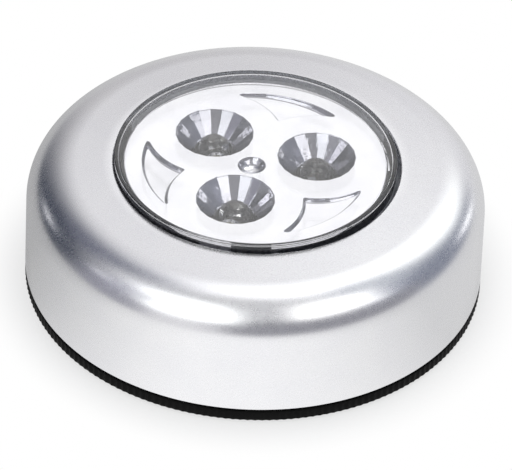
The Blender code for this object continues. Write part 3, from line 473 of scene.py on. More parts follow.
# Rows for ring_blocks, from each side's middle: the ledge for a hook, and two stops.
LEDGE_AND_STOPS = [
    (31.8, 34.2, 9.2, 11, 4.0, 5.2),
    (32.1, 34.2, 22, 2, 4.6, 6.9),
    (32.1, 34.2, -22, 2, 4.6, 6.9),
]
BOSS_PLACE = 27.2
BOSS_RADIUS = 2.6
BOSS_HEIGHTS = (15.3, 20.6)


def housing_outline():
    """Up the outside from the foot, over the shoulder and lip, down the collar, and back inside.

    The slope's height at radius r is 21.9 - 0.12 (r - 22.5).
    """
    slope = np.linspace(*SLOPE_RADII, 8)
    inner = (SHOULDER_SIZE[0] - HOUSING_WALL, SHOULDER_SIZE[1] - HOUSING_WALL)
    under_shoulder = arc(SHOULDER_CENTRE, inner, SHOULDER_END, 0, 24)
    ceiling = under_shoulder[0, 1] + SLOPE * (under_shoulder[0, 0] - COLLAR)
    return np.concatenate([
        rounded(BODY_RADIUS - FOOT_ROUND, HOUSING_BOTTOM + FOOT_ROUND, FOOT_ROUND, -90, 0),
        arc(SHOULDER_CENTRE, SHOULDER_SIZE, 0, SHOULDER_END, 56),
        np.stack([slope, LIP_HEIGHT - SLOPE * (slope - LIP_RADIUS)], -1),
        rounded(OPENING_RADIUS + LIP_ROUND, LIP_HEIGHT - LIP_ROUND, LIP_ROUND, LIP_START, 180, 10),
        [(OPENING_RADIUS, COLLAR_BOTTOM + COLLAR_BEVEL)],
        [(OPENING_RADIUS + COLLAR_BEVEL, COLLAR_BOTTOM), (COLLAR, COLLAR_BOTTOM)],
        [(COLLAR, ceiling)],
        under_shoulder,
        [(BORE, HOUSING_BOTTOM)],
    ])


def housing_shells():
    """The turned shell, and on each side a ledge, two stops and a boss for a chassis screw."""
    shells = [turned(housing_outline(), closed=True)]
    for side in SIDES:
        shells += ring_blocks(side, LEDGE_AND_STOPS)
        shells.append(upright_bar(BOSS_RADIUS, *BOSS_HEIGHTS, polar(BOSS_PLACE, side)))
    return shells


# %% [markdown]
# ## Silver paint
#
# Satin silver lacquer is aluminium flake in a clear binder over moulded plastic. The flakes lie
# nearly flat, so it reflects as a soft metal, and the film has a faint orange peel. Real flakes are
# about 0.02 mm wide, too fine to show here, so they are drawn 0.2 mm wide.

# %% Silver paint
FLAKE_WIDTH = 0.2
FLAKE_GLINT = 0.025

paint, tree, shader, _, place = make_finish(
    "silver_lacquer", ("F3F3F6", "F6F6F8"), (0.26, 0.29), skin=0.9, height=0.0008, Metallic=1.0
)
flakes = add_node(tree, "TexNoise", {"Vector": place, "Scale": per_metre(FLAKE_WIDTH), "Detail": 0.0})
glint = {"Value": flakes, "From Min": 0.25, "From Max": 0.75}
glint |= {"To Min": 1 - FLAKE_GLINT, "To Max": 1 + FLAKE_GLINT}
shimmer = add_node(tree, "MapRange", glint)
before = shader.inputs["Base Color"].links[0].from_socket
flaked = add_node(tree, "VectorMath", {0: before, "Scale": shimmer}, operation="SCALE")
plug(tree, shader, {"Base Color": flaked})
make_piece("painted_housing", housing_shells(), paint, "lamp", ["housing"])

# %% [markdown]
# ## The base
#
# The base is a black ABS disc that stays on the wall while the lamp twists off it. Fingers hold it by
# 200 fine ribs round its edge, about 1.1 mm apart. They are cut into the turned disc by a radius that
# falls and rises as it goes round, which gives true ribs in the outline. The three hooks that hold
# the lamp stand on it, and its back has a round recess for the pad.

# %% Base shape
BASE_BOTTOM = 0.5
BASE_TOP = 2.3
RIBS = 200
RIB_DEPTH = 0.1
RECESS_RADIUS = 20.3
RECESS_TOP = 1.3
RECESS_BEVEL = 0.15
EDGE_ROUND = 0.22
RIB_POINTS = 8
RIB_START = 1.0
RIB_FADE = 0.6
RIB_POWER = 0.7
PLAIN_RADIUS = BODY_RADIUS - 1.2
# Rows for ring_blocks, from each side's middle: a hook's post, and its finger over the ledge.
HOOK = [(30.0, 31.5, 12, 7, BASE_TOP - 0.9, 7.2), (30.75, 33.3, 12, 6, 5.5, 6.9)]


def ribbed(t, r, z):
    """Close to the rim, the radius falls by the rib depth times (0.5 - 0.5 cos(200 t)) to the power 0.7."""
    rim = np.clip((r - (BODY_RADIUS - RIB_START)) / RIB_FADE, 0, 1)
    return r - RIB_DEPTH * rim * (0.5 - 0.5 * np.cos(RIBS * t)) ** RIB_POWER


def base_shells():
    """The turned disc with its recess below and its ribbed edge, and a hook on each side."""
    edge = BODY_RADIUS - EDGE_ROUND
    outline = np.concatenate([
        [(0, RECESS_TOP), (RECESS_RADIUS, RECESS_TOP)],
        [(RECESS_RADIUS, BASE_BOTTOM + RECESS_BEVEL), (RECESS_RADIUS + RECESS_BEVEL, BASE_BOTTOM)],
        [(PLAIN_RADIUS, BASE_BOTTOM)],
        rounded(edge, BASE_BOTTOM + EDGE_ROUND, EDGE_ROUND, -90, 0),
        rounded(edge, BASE_TOP - EDGE_ROUND, EDGE_ROUND, 0, 90),
        [(PLAIN_RADIUS, BASE_TOP), (0, BASE_TOP)],
    ])
    shells = [turned(outline, RIBS * RIB_POINTS, reach=ribbed)]
    for side in SIDES:
        shells += ring_blocks(side, HOOK)
    return shells


# %% Black moulded ABS
black_abs, *_ = make_finish(
    "moulded_black_abs", ("020202", "040404"), (0.5, 0.65), skin=0.35, height=0.004, IOR=1.5,
    **{"Specular IOR Level": 0.1},
)
make_piece("ribbed_base", base_shells(), black_abs, "base", ["base_cover"])

# %% [markdown]
# ## The foam pad
#
# A round pad of closed-cell foam with glue on both faces sticks the base to the wall. It is die-cut,
# so its edge is square with the foam's torn cells showing, and it is a soft disc a millimetre thick.

# %% Foam pad
PAD_RADIUS = 20.0
PAD_TOP = 1.0
PAD_ROUND = 0.15
PAD_RINGS = 11
FOAM_CELL = 0.25
FOAM_DEPTH = 0.03


def pad_shell():
    """A disc with rounded edges: across the underside, round the edge and back over the top."""
    edge = PAD_RADIUS - PAD_ROUND
    inward = np.linspace(edge, 0, PAD_RINGS + 1)[1:]
    outline = np.concatenate([
        np.stack([inward[::-1], np.zeros(PAD_RINGS)], -1),
        rounded(edge, PAD_ROUND, PAD_ROUND, -90, 0),
        rounded(edge, PAD_TOP - PAD_ROUND, PAD_ROUND, 0, 90),
        np.stack([inward, np.full(PAD_RINGS, PAD_TOP)], -1),
    ])
    return turned(outline, 144)


foam, tree, shader, _, place = make_finish(
    "closed_cell_foam", ("E4E3DC", "F0EFEA"), (0.8, 0.9), skin=0.4, height=0.02, cloud=2.0
)
bubbles = add_node(tree, "TexVoronoi", {"Vector": place, "Scale": per_metre(FOAM_CELL)})
cells = {"Height": bubbles.outputs["Distance"], "Distance": FOAM_DEPTH * MM}
torn = add_node(tree, "Bump", {**cells, "Normal": shader.inputs["Normal"].links[0].from_socket})
plug(tree, shader, {"Normal": torn})
pad = make_piece("foam_pad", [pad_shell()], foam, "base", ["adhesive_pad"])

# %% [markdown]
# ## The reflector
#
# The reflector is one ABS moulding with a mirror of evaporated aluminium. It has a cup of twenty flat
# facets round each LED, three fan-shaped pockets between the cups, and a dimple just beside the
# middle. A mirror shows every fault in a mesh, so it isn't cut out with booleans: the flat face is
# filled between the outlines as one plane, and each edge is a profile carried along its outline.

# %% Reflector face
FACE = 21.48
PLATE_RADIUS = 20.1
PLATE_BACK = 19.0
CUP_OFFSET = 9.45
CUP_RADIUS = 5.85
CUP_BOTTOM = 18.38
CUP_BORE = 2.8
CUP_FACETS = 20
FILL_SEAM = 0.00001


def inside(points, loop):
    """True where an odd number of the loop's edges cross the line to the right of a point."""
    x, y = points[:, 0:1], points[:, 1:2]
    ax, ay = loop[:, 0], loop[:, 1]
    bx, by = np.roll(ax, -1), np.roll(ay, -1)
    crossed = (ay > y) != (by > y)
    rise = np.where(by == ay, 1.0, by - ay)
    return (crossed & (x < ax + (y - ay) / rise * (bx - ax))).sum(1) % 2 == 1


def filled(outer, holes, extra=()):
    """Triangles inside an outline and outside its holes, which all face up."""
    loops = [outer, *holes]
    starts = np.cumsum([0] + [len(loop) for loop in loops])
    edges = []
    for loop, start in zip(loops, starts):
        i = np.arange(len(loop))
        edges += np.stack([start + i, start + (i + 1) % len(loop)], -1).tolist()
    points = np.concatenate([*loops, *extra])
    found, _, triangles, *_ = delaunay_2d_cdt(points.tolist(), edges, [], 0, FILL_SEAM)
    found, triangles = np.array([tuple(point) for point in found]), np.array(triangles)
    middle = found[triangles].mean(1)
    keep = inside(middle, outer)
    for hole in holes:
        keep &= ~inside(middle, hole)
    triangles = triangles[keep]
    a, b, c = (found[triangles[:, i]] for i in range(3))
    turn = (b - a)[:, 0] * (c - a)[:, 1] - (b - a)[:, 1] * (c - a)[:, 0]
    return found, np.where((turn > 0)[:, None], triangles, triangles[:, ::-1])


def resampled(outline, spacing):
    """Points at even steps along a closed line."""
    closed = np.concatenate([outline, outline[:1]])
    along = np.concatenate([[0], np.cumsum(np.linalg.norm(np.diff(closed, axis=0), axis=1))])
    steps = np.linspace(0, along[-1], int(along[-1] / spacing), endpoint=False)
    return np.stack([np.interp(steps, along, closed[:, i]) for i in (0, 1)], -1)


def averaged(rows, count):
    """Round a closed line, each row becomes the mean of itself and its neighbours on either side."""
    return sum(np.roll(rows, i, 0) for i in range(-count, count + 1)) / (2 * count + 1)


def softened(outline, spacing, rounding):
    """Rounds a closed line's corners by averaging it twice over the same reach."""
    count = max(1, int(rounding / spacing))
    return averaged(averaged(resampled(outline, spacing), count), count)


def outward_normals(line):
    """Each point's neighbours give the tangent, and a quarter turn to the right faces outwards."""
    along = np.roll(line, -1, 0) - np.roll(line, 1, 0)
    along /= np.linalg.norm(along, axis=1, keepdims=True)
    return np.stack([along[:, 1], -along[:, 0]], -1)


def circle(radius, count, centre=(0, 0)):
    """Points in even steps once round."""
    return about(centre, radius, np.arange(count) * 2 * np.pi / count)


def facet_reach(t, r, phase):
    """A polygon's radius on the way round: r cos(half) / cos(angle from the facet's middle)."""
    half = np.pi / CUP_FACETS
    off = (t - phase + half) % (2 * half) - half
    return r * math.cos(half) / np.cos(off)


print("reflector cup facet", round(2 * CUP_RADIUS * math.sin(math.pi / CUP_FACETS), 2), "mm wide")

# %% [markdown]
# A cup is a funnel of flat facets, so its radius isn't constant on the way round: it follows a
# polygon. The same function gives the hole that the cup leaves in the flat face, so they meet.

# %% Reflector cups
FACET_POINTS = 5
SLEEVE_END = 15.6
CUP_SKIN = 0.8
CUP_FOOT = 0.15
EDGE = 0.16
EDGE_END = 12
CUP_TURNS = (87.0, 76.3, 80.5)


def cup_shell(centre, phase):
    """Down the facets from a rounded mouth, through the sleeve, and up the cup's outer side."""
    count = CUP_FACETS * FACET_POINTS
    t = phase + (np.arange(count)[:, None] + 0.5) * 2 * np.pi / count
    mouth = arc((CUP_RADIUS + EDGE, FACE - EDGE), (-EDGE, EDGE), 90, EDGE_END, 6)
    slope = (CUP_RADIUS - CUP_BORE) / (FACE - CUP_BOTTOM)
    outer = [CUP_BORE + CUP_SKIN + slope * (PLATE_BACK - CUP_BOTTOM), PLATE_BACK]
    profile = np.concatenate([
        mouth,
        [(CUP_BORE + CUP_FOOT, CUP_BOTTOM + CUP_FOOT)],
        [(CUP_BORE, CUP_BOTTOM), (CUP_BORE, SLEEVE_END)],
        [(CUP_BORE + CUP_SKIN, SLEEVE_END), (CUP_BORE + CUP_SKIN, CUP_BOTTOM), outer],
    ])
    r = np.broadcast_to(profile[:, 0], (count, len(profile))).copy()
    facets = len(mouth) + 1
    r[:, :facets] = facet_reach(t, profile[:facets, 0], phase)
    points = about(centre, r, t, np.broadcast_to(profile[:, 1], r.shape))
    faces = grid_faces(count, len(profile))
    return points[:, 0, :2], points[:, -1, :2], (points.reshape(-1, 3), faces)


print("cups", round(FACE - CUP_BOTTOM, 2), "mm deep")

# %% [markdown]
# A pocket is a fan between two cups: an outer arc, and two sides that follow the cups' rims. Its
# floor is a ramp, deeper towards one side, which is what makes the pockets look like turning blades.

# %% Reflector pockets
POCKET_OUTER = 17.1
POCKET_HALF = 27
POCKET_CUP = 10.25
POCKET_DEEP = 0.75
POCKET_SPACING = 0.12
POCKET_CORNER = 0.35
CUP_FROM_MIDDLE = 60
RAMP_MIDDLE, RAMP_CHANGE = 0.775, 0.225
# The wall's rows from the face down: how far outside the outline, and the share of the depth.
POCKET_WALL = [
    (0.14, 0.0), (0.10, 0.02), (0.04, 0.08), (0.0, 0.16),
    (-0.06, 0.5), (-0.24, 0.88), (-0.30, 0.97), (-0.38, 1.0),
]
TIP_REACH = 8
FLOOR_GRID = 0.7
FLOOR_CLEAR = 0.3


def pocket_line(middle):
    """The outer arc, one side about the next cup, and the other side about the cup before it.

    The sides meet on the fan's middle line, where the two circles about the cups cross.
    """
    half = math.radians(CUP_FROM_MIDDLE)
    beside = CUP_OFFSET * math.sin(half)
    tip = polar(CUP_OFFSET * math.cos(half) + math.sqrt(POCKET_CUP**2 - beside**2), middle)
    sides = []
    for sign in (1, -1):
        cup = polar(CUP_OFFSET, middle + sign * CUP_FROM_MIDDLE)
        corner = polar(POCKET_OUTER, middle + sign * POCKET_HALF)
        start, stop = (math.atan2(*(point - cup)[::-1]) for point in (corner, tip))
        sweep = (stop - start + math.pi) % (2 * math.pi) - math.pi
        t = start + sweep * np.linspace(0, 1, 40)
        sides.append(about(cup, POCKET_CUP, t))
    outer = rounded(0, 0, POCKET_OUTER, middle - POCKET_HALF, middle + POCKET_HALF, 60)
    whole = np.concatenate([outer[:-1], sides[0][:-1], sides[1][::-1][:-1]])
    return softened(whole, POCKET_SPACING, POCKET_CORNER)


def pocket_depth(points, middle):
    """Deepest along the fan's leading side: 0.55 to 1 times the depth, evenly with the angle."""
    angle = np.degrees(np.arctan2(points[:, 1], points[:, 0])) - middle
    angle = (angle + 180) % 360 - 180
    return POCKET_DEEP * (RAMP_MIDDLE - RAMP_CHANGE * np.clip(angle / POCKET_HALF, -1, 1))


def pocket_shells(middle):
    """A rounded edge, a wall that leans in and a rounded foot, each a share of the local depth.

    The normals are averaged along the line, so the wall stands steeper where the fan comes to a tip
    and its foot doesn't cross itself there.
    """
    line = pocket_line(middle)
    normals = averaged(outward_normals(line), TIP_REACH)
    rows = []
    for out, share in POCKET_WALL:
        ring = line + normals * out
        rows.append(np.column_stack([ring, FACE - share * pocket_depth(ring, middle)]))
    wall = np.stack(rows, 1).reshape(-1, 3), grid_faces(len(line), len(rows))
    edge, foot = rows[0][:, :2], rows[-1][:, :2]
    low, high = foot.min(0), foot.max(0)
    x, y = np.meshgrid(*(np.arange(low[i], high[i], FLOOR_GRID) for i in (0, 1)))
    lattice = np.stack([x.ravel(), y.ravel()], -1)
    gap = np.linalg.norm(lattice[:, None] - foot[None], axis=2).min(1)
    flat, triangles = filled(foot, [], [lattice[inside(lattice, foot) & (gap > FLOOR_CLEAR)]])
    return edge, wall, (np.column_stack([flat, FACE - pocket_depth(flat, middle)]), triangles)


print("points round a pocket", len(pocket_line(SIDES[0])))

# %% [markdown]
# The dimple is a bowl cut from a sphere. The face is then filled round all the outlines, and the
# plate's rim, its back, the screw posts and the ears that lock into the lens close the moulding.

# %% Reflector assembled
DIMPLE_RADIUS = 2.4
DIMPLE_DEPTH = 1.2
DIMPLE_PLACE = (-0.7, -0.6)
# The dimple's edge: how far outside the bowl, and how far below the face.
DIMPLE_EDGE = [(0.1, 0), (0.05, 0.015)]
RIM_ROUND = 0.3
POST_PLACE = 8.9
POST_RADIUS = 2.2
POST_HEIGHTS = (11.8, PLATE_BACK + 0.1)
EAR = [(18.6, 20.4, 0, 10, 19.6, 20.8)]
EAR_TURNS = (237.5, 357.5, 117.5)


def dimple_shell():
    """The sphere's depth at radius r: d - (R - sqrt(R squared - r squared)), with a rounded edge."""
    mouth = math.sqrt(2 * DIMPLE_RADIUS * DIMPLE_DEPTH - DIMPLE_DEPTH**2)
    r = np.linspace(mouth, 0, 12)
    z = FACE - DIMPLE_DEPTH + DIMPLE_RADIUS - np.sqrt(DIMPLE_RADIUS**2 - r**2)
    edge = [(mouth + out, FACE - drop) for out, drop in DIMPLE_EDGE]
    profile = np.concatenate([edge, np.stack([r, z], -1)])
    return circle(edge[0][0], 64, DIMPLE_PLACE), turned(profile, 64, DIMPLE_PLACE)


def plane_shell(outer, holes, height):
    """The flat face between an outline and its holes, at one height."""
    flat, triangles = filled(outer, holes)
    return np.column_stack([flat, np.full(len(flat), height)]), triangles


def reflector_shells():
    """Cups, pockets and dimple, then the face between them, the rim, the back, posts and ears."""
    shells, holes, back_holes = [], [], []
    for corner, turn in zip(CORNERS, CUP_TURNS):
        mouth, outer, shell = cup_shell(polar(CUP_OFFSET, corner), math.radians(turn))
        holes.append(mouth)
        back_holes.append(outer)
        shells.append(shell)
    for side in SIDES:
        edge, wall, floor = pocket_shells(side)
        holes.append(edge)
        shells += [wall, floor]
    edge, bowl = dimple_shell()
    holes.append(edge)
    shells.append(bowl)
    shells.append(plane_shell(circle(PLATE_RADIUS - RIM_ROUND, FINE_TURN), holes, FACE))
    rim = rounded(PLATE_RADIUS - RIM_ROUND, FACE - RIM_ROUND, RIM_ROUND, 0, 90, 7)
    shells.append(turned([(PLATE_RADIUS, PLATE_BACK), *rim]))
    points, triangles = plane_shell(circle(PLATE_RADIUS, FINE_TURN), back_holes, PLATE_BACK)
    shells.append((points, triangles[:, ::-1]))
    for side in SIDES:
        shells.append(upright_bar(POST_RADIUS, *POST_HEIGHTS, polar(POST_PLACE, side), 32))
    for turn in EAR_TURNS:
        shells += ring_blocks(turn, EAR)
    return shells


print("dimple beside the middle by", round(math.hypot(*DIMPLE_PLACE), 2), "mm")

# %% [markdown]
# ## The mirror film
#
# Aluminium is evaporated on to the smooth plastic in a vacuum, from in front. It lies bright on the
# flat face, thinner and darker on the steep walls, hazy on the rim, and not at all on the sleeves
# and posts behind. So one mesh has four finishes, and each face gets its own by where its middle
# lies and how far it faces up.

# %% Mirror finish
mirror, tree, shader, _, place = make_finish(
    "evaporated_aluminium", ("F0F0F2", "F6F6F7"), (0.03, 0.06), skin=1.6, height=0.001, Metallic=1.0
)
WAVE_WIDTH = 7.0
WAVE_HEIGHT = 0.05
waves = add_node(tree, "TexNoise", {"Vector": place, "Scale": per_metre(WAVE_WIDTH), "Detail": 1.0})
rolling = {"Height": waves, "Distance": WAVE_HEIGHT * MM}
wavy = add_node(tree, "Bump", {**rolling, "Normal": shader.inputs["Normal"].links[0].from_socket})
plug(tree, shader, {"Normal": wavy})
reflector = make_piece(
    "mirror_reflector", reflector_shells(), mirror, "head", ["reflector"],
    sharp=9.0, moved=PLAY,
)

# %% Finish by face
UPRIGHT = 0.99999
STEEP = 0.9
WALLS_END = POCKET_OUTER + 0.2
RIM_START = PLATE_RADIUS - 0.15


def face_values(piece, name, width=1, kind=float):
    """One value of each face of a piece as a row, or x, y and z as three rows."""
    values = np.zeros(len(piece.data.polygons) * width, kind)
    piece.data.polygons.foreach_get(name, values)
    return values.reshape(-1, width).T


def flatten_face(piece, height):
    """Shades the faces at one height flat, so no edge bends what they mirror."""
    rise, z = (face_values(piece, name, 3)[2] for name in ("normal", "center"))
    plane = (rise > UPRIGHT) & (np.abs(z - height * MM) < SEAM)
    smooth = face_values(piece, "use_smooth", kind=bool)[0]
    piece.data.polygons.foreach_set("use_smooth", smooth & ~plane)
    print("flat faces", int(plane.sum()))


def refinish(piece, rule, *finish, **sockets):
    """Another finish for the faces where rule(r, t, z, rise of the normal) holds about the axis."""
    material, *_ = make_finish(*finish, **sockets)
    x, y, z = face_values(piece, "center", 3) / MM
    x, y = x - PLAY[0], y - PLAY[1]
    rise = face_values(piece, "normal", 3)[2]
    chosen = rule(np.hypot(x, y), np.degrees(np.arctan2(y, x)), z, rise)
    indices = face_values(piece, "material_index", kind=np.int32)[0]
    indices[chosen] = len(piece.data.materials)
    piece.data.materials.append(material)
    piece.data.polygons.foreach_set("material_index", indices)
    print(material.name, int(chosen.sum()), "faces")


def on_steep_walls(r, t, z, rise):
    """The walls of the cups, the pockets and the dimple."""
    return (rise < STEEP) & (z > CUP_BOTTOM) & (r < WALLS_END)


def below_the_cups(r, t, z, rise):
    """The sleeves, the posts and everything else under the mirror."""
    return z < CUP_BOTTOM


def on_the_rim(r, t, z, rise):
    """The plate's edge outside the face, which the film hardly reaches."""
    return (r > RIM_START) & (z > CUP_BOTTOM)


flatten_face(reflector, FACE)
refinish(
    reflector, on_steep_walls,
    "thin_aluminium_film", ("ACACB3", "C2C2C9"), (0.01, 0.03), skin=0.9, height=0.024, Metallic=1.0,
)
refinish(
    reflector, below_the_cups,
    "bare_grey_abs", ("1A1A1C", "222224"), (0.45, 0.6), skin=0.3, height=0.003,
)
refinish(
    reflector, on_the_rim,
    "hazy_film_edge", ("56565C", "606066"), (0.4, 0.5), skin=0.3, height=0.003,
)

# %% [markdown]
# ## The LEDs
#
# A 5 mm LED is a bullet of clear epoxy. Inside it a steel frame holds a tiny dish with the chip under
# yellow phosphor, and beside it a post that a hair of gold wire reaches. Both legs go down through
# the board. While the lamp is off, the phosphor is a dull yellowish grey. The bullet, the frame and
# the phosphor are separate pieces, because each has its own finish.

# %% LED shapes
LED_RADIUS = 2.5
LED_BOTTOM = 11.8
LED_TOP = 20.6
LED_FLANGE = 2.9
LED_FLANGE_TOP = 12.8
LED_BEVEL = 0.1
LEG_BOTTOM = 8.7
FRAME_THICKNESS = 0.5
# Outlines of (sideways, height), each with the leg's foot first.
BROAD_PLATE = [(-1.52, LEG_BOTTOM), (-1.02, LEG_BOTTOM), (-1.02, 14.2), (0.15, 15.6), (0.35, 16.6)]
BROAD_PLATE += [(-1.1, 16.6), (-1.52, 14.8)]
NARROW_POST = [(1.02, LEG_BOTTOM), (1.52, LEG_BOTTOM), (1.52, 15.6), (1.2, 16.9), (0.7, 16.9)]
NARROW_POST += [(0.85, 15.6), (1.02, 14.6)]
# The dish and the drop of phosphor in it are profiles of (r, z) about an axis beside the LED's own.
DISH_OFFSET = 0.35
DISH = [(0, 16.4), (0.5, 16.4), (0.7, 17.2), (0.63, 17.2), (0.4, 16.9), (0, 16.9)]
DROP = [(0, 16.92), (0.38, 16.92), *arc((0, 17.05), (0.5, 0.12), 0, 90, 8)]


def bullet_shell(centre):
    """A flange, a straight body and a half-sphere dome."""
    inner = LED_FLANGE - LED_BEVEL
    profile = np.concatenate([
        [(0, LED_BOTTOM), (inner, LED_BOTTOM), (LED_FLANGE, LED_BOTTOM + LED_BEVEL)],
        [(LED_FLANGE, LED_FLANGE_TOP - LED_BEVEL), (inner, LED_FLANGE_TOP)],
        [(LED_RADIUS, LED_FLANGE_TOP)],
        rounded(0, LED_TOP - LED_RADIUS, LED_RADIUS, 0, 90, 20),
    ])
    return turned(profile, 64, centre)


def plate_shells(centre, direction, outline):
    """A flat outline of (sideways, height) points, given its thickness across the LED's leg line."""
    outline = np.asarray(outline, float)
    count = len(outline)
    along = polar(1, direction + 90)
    off = polar(1, direction)
    rows = []
    for side in (-FRAME_THICKNESS / 2, FRAME_THICKNESS / 2):
        flat = centre + outline[:, 0:1] * along + side * off
        rows.append(np.column_stack([flat, outline[:, 1]]))
    points = np.concatenate(rows)
    i = np.arange(count)
    sides = np.stack([i, (i + 1) % count, count + (i + 1) % count, count + i], -1)
    _, triangles = filled(outline, [])
    return [(points, sides), (points[:count], triangles[:, ::-1]), (points[count:], triangles)]


def on_dish_axis(profile, centre, direction):
    """A profile turned about the dish's axis."""
    return turned(profile, 32, centre + polar(DISH_OFFSET, direction - 90))


def frame_shells(centre, direction):
    """Two legs, the broad plate under the dish and the narrow post beside it."""
    shells = []
    for outline in (BROAD_PLATE, NARROW_POST):
        shells += plate_shells(centre, direction, outline)
    return [*shells, on_dish_axis(DISH, centre, direction)]


print("an LED stands", round(LED_TOP - LED_BOTTOM, 1), "mm over the board")

# %% [markdown]
# ## Clear plastics
#
# The lens cap is polished polystyrene, with an index of 1.59, and the LEDs are epoxy, with 1.53. Both
# are clear all through. Light that goes through them to what lies behind would otherwise be counted
# as blocked, so for shadow rays they stand as nearly clear.

# %% Clear plastic materials
def make_clear(name, colours, index, rough, passed, gloss=0.5):
    """A clear finish that a shadow ray passes, dimmed only by the colour it is given."""
    sockets = {"IOR": index, "Transmission Weight": 1.0, "Specular IOR Level": gloss}
    material, tree, shader, end, _ = make_finish(name, colours, rough, 2.5, 0.001, **sockets)
    clear = add_node(tree, "BsdfTransparent", {"Color": linear(passed)})
    shadow = add_node(tree, "LightPath").outputs["Is Shadow Ray"]
    plug(tree, end, {"Surface": add_node(tree, "MixShader", {0: shadow, 1: shader, 2: clear})})
    return material


epoxy = make_clear("clear_epoxy", ("F4F4F0", "F8F8F5"), 1.53, (0.01, 0.02), "F0F0EE")
# The picture shows hardly any veil over the cups, so the lens's gloss is below the usual.
polystyrene = make_clear(
    "clear_polystyrene", ("FAFAFC", "FDFDFE"), 1.59, (0.0, 0.01), "F4F4F6", gloss=0.28
)
plated, *_ = make_finish(
    "silver_plated_steel", ("8E8E94", "A4A4A8"), (0.2, 0.35), skin=0.3, height=0.001, cloud=0.5,
    Metallic=1.0,
)
phosphor, *_ = make_finish(
    "yellow_phosphor", ("96937E", "A4A08A"), (0.5, 0.6), skin=0.1, height=0.004, cloud=0.3
)

for number, corner in enumerate(CORNERS, 1):
    centre = polar(CUP_OFFSET, corner) + PLAY
    bullet, drop = [bullet_shell(centre)], [on_dish_axis(DROP, centre, corner)]
    metal = frame_shells(centre, corner)
    make_piece(f"led_bullet_{number}", bullet, epoxy, "head", [f"led_{number}"])
    make_piece(f"led_frame_{number}", metal, plated, "head", [])
    make_piece(f"led_phosphor_{number}", drop, phosphor, "head", [])

# %% [markdown]
# ## The lens cap
#
# The lens cap is what the hand presses. It is a low clear cup upside down: a top with a faint crown,
# a rounded edge, a straight wall that slides in the collar, and a flange that stops it from coming
# out. A thick clear wall seen from above shows the dark inside of the housing as a broad ring round
# the reflector. So the wall is drawn half a millimetre thick, which is thin for such a lens.

# %% Lens shape
LENS_RADIUS = 21.42
LENS_BORE = 20.89
BAND_TOP = 21.3
OUTER_BAND_TOP = 21.0
# The painted shade's edge on the bore: degrees round from its middle piece, then the height there.
SHADE_BAND_FRONT = 257.2
SHADE_BAND_EDGE = np.array([
    (-180, 17), (-118, 17), (-108, 21.6), (-90, 22.2), (-60, 22.46), (-36, 22.45), (-22, 21.7),
    (-20, 17), (-9, 17), (-8, 22.46), (8, 22.46), (9, 17), (10, 17), (11, 21.8), (30, 21.9), (42, 22.45),
    (90, 22.4), (105, 21.8), (118, 17), (180, 17),
])
LENS_FOOT = 17.2
FLANGE_TOP = 18.4
FLANGE_RADIUS = 23.0
LENS_EDGE = 0.16
INNER_ROUND = 0.4
LENS_SHOULDER = 23.1
LENS_CROWN = 0.3
LENS_TOP = 0.6
LENS_BEVEL = 0.1
FLANGE_ROOT = 0.15
CLIP = [(19.3, 21.0, 0, 10, 18.2, 19.0)]
CLIP_TURNS = (258, 18, 138)


def lens_outline():
    """From the middle of the underside out and down the bore, round the flange, and up over the top.

    The crown rises over its edge by the crown height times 1 - (r / R) squared.
    """
    crown = np.linspace(0, LENS_RADIUS - LENS_EDGE, 16)
    rise = LENS_CROWN * (1 - (crown / crown[-1]) ** 2)
    ceiling = LENS_SHOULDER - LENS_TOP
    under = crown < LENS_BORE - INNER_ROUND - LENS_BEVEL
    out, foot_side = FLANGE_RADIUS - LENS_BEVEL, LENS_FOOT + LENS_BEVEL
    return np.concatenate([
        np.stack([crown, ceiling + rise], -1)[under],
        rounded(LENS_BORE - INNER_ROUND, ceiling - INNER_ROUND, INNER_ROUND, 90, 0, 24),
        [(LENS_BORE, BAND_TOP), (LENS_BORE, foot_side), (LENS_BORE + LENS_BEVEL, LENS_FOOT)],
        [(out, LENS_FOOT), (FLANGE_RADIUS, foot_side)],
        [(FLANGE_RADIUS, FLANGE_TOP - LENS_BEVEL), (out, FLANGE_TOP)],
        [(LENS_RADIUS + FLANGE_ROOT, FLANGE_TOP), (LENS_RADIUS, FLANGE_TOP + FLANGE_ROOT)],
        [(LENS_RADIUS, OUTER_BAND_TOP)],
        rounded(LENS_RADIUS - LENS_EDGE, LENS_SHOULDER - LENS_EDGE, LENS_EDGE, 0, 90, 14),
        np.stack([crown, LENS_SHOULDER + rise], -1)[-2::-1],
    ])


lens_shells = [turned(lens_outline())]
for turn in CLIP_TURNS:
    lens_shells += ring_blocks(turn, CLIP)
lens_cap = make_piece(
    "clear_lens_cap", lens_shells, polystyrene, "head", ["lens_cap"], moved=PLAY
)

# %% [markdown]
# The lens is polished only where it shows. Its bore keeps a matt moulded band low down. Stretches of
# the bore are painted black as shade, which darkens the ring round the lens there. The painted edge
# wanders and leaves a gap on either side of the front.

# %% Band and painted shade
BORE_LIMIT = LENS_BORE + 0.1
SHADE_BAND_FOOT = LENS_FOOT + 0.2


def below_the_polish(r, t, z, rise):
    """The bore below its band line, the outer side below another, and all of the flange."""
    return z < np.where(r < BORE_LIMIT, BAND_TOP, OUTER_BAND_TOP)


def under_the_painted_shade(r, t, z, rise):
    """The bore's faces below the painted shade's edge, whose height is read off a row of angles."""
    from_front = (t - SHADE_BAND_FRONT + 180) % 360 - 180
    return (r < BORE_LIMIT) & (z > SHADE_BAND_FOOT) & (z < np.interp(from_front, *SHADE_BAND_EDGE.T))


refinish(
    lens_cap, below_the_polish,
    "matt_moulded_band", ("DCDEE4", "E4E6EA"), (0.4, 0.5), skin=0.5, height=0.003, IOR=1.59,
)
# Painted shade: black faces on the bore that darken stretches of the ring round the lens.
refinish(
    lens_cap, under_the_painted_shade,
    "black_foam_tape", ("1C1D24", "24252C"), (0.5, 0.6), skin=0.4, height=0.003, IOR=1.59,
)

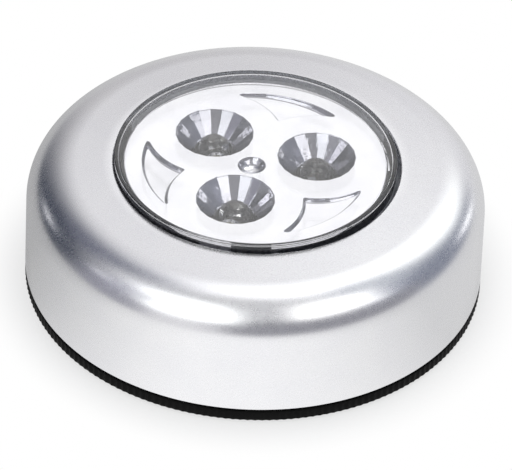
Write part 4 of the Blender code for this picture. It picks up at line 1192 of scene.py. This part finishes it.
# %% [markdown]
# ## What is inside
#
# The cells, contacts, chassis, board and switch are hidden until the lamp is taken apart. Their
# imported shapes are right, so they stay as they are and only get the finish of their real material.

# %% Finishes of the hidden pieces
CELLS = [f"battery_{number}" for number in (1, 2, 3)]
NICKEL = ["link_plate_1", "link_plate_2", "terminal_plate_plus", "terminal_plate_minus"]
NICKEL += [f"battery_spring_{number}" for number in (1, 2, 3)]
ZINC = [f"{kind}_screw_{number}" for kind in ("chassis", "board") for number in (1, 2, 3)]
ZINC += ["switch_spring"]
# Each row: the finish, its two colours, its roughness, the grain's width and height in millimetres,
# how metallic it is, and the nodes that have it.
HIDDEN = [
    ("moulded_white_abs", ("DCDCD8", "E4E4E0"), (0.4, 0.5), 0.4, 0.004, 0.0, ["battery_chassis"]),
    ("nickel_plate", ("C2BEB6", "D2CEC6"), (0.22, 0.34), 0.3, 0.002, 1.0, NICKEL),
    ("zinc_plated_steel", ("BEBEC2", "CECED0"), (0.25, 0.4), 0.2, 0.002, 1.0, ZINC),
    ("red_wire_insulation", ("A81A1A", "B42222"), (0.35, 0.45), 0.3, 0.003, 0.0, ["wire_plus"]),
    ("black_wire_insulation", ("141414", "1C1C1C"), (0.35, 0.45), 0.3, 0.003, 0.0, ["wire_minus"]),
    ("paper_phenolic", ("7E786A", "8A8374"), (0.45, 0.6), 0.3, 0.004, 0.0, ["led_board"]),
    ("beige_lacquer", ("D2B48C", "DABE98"), (0.3, 0.4), 0.3, 0.003, 0.0, ["resistor"]),
    ("black_nylon", ("121214", "1A1A1C"), (0.45, 0.6), 0.25, 0.004, 0.0, ["switch_body"]),
    ("white_acetal", ("E8E8E2", "EFEFEA"), (0.3, 0.4), 0.3, 0.002, 0.0, ["switch_plunger"]),
    ("green_cell_sleeve", ("1E4A34", "24543C"), (0.25, 0.35), 0.5, 0.002, 0.0, CELLS),
]

for name, colours, rough, skin, height, metallic, nodes in HIDDEN:
    material, *_ = make_finish(name, colours, rough, skin, height, Metallic=metallic)
    for node in nodes:
        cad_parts[node].material_slots[0].material = material
print("finishes on carried-over nodes", len(HIDDEN))
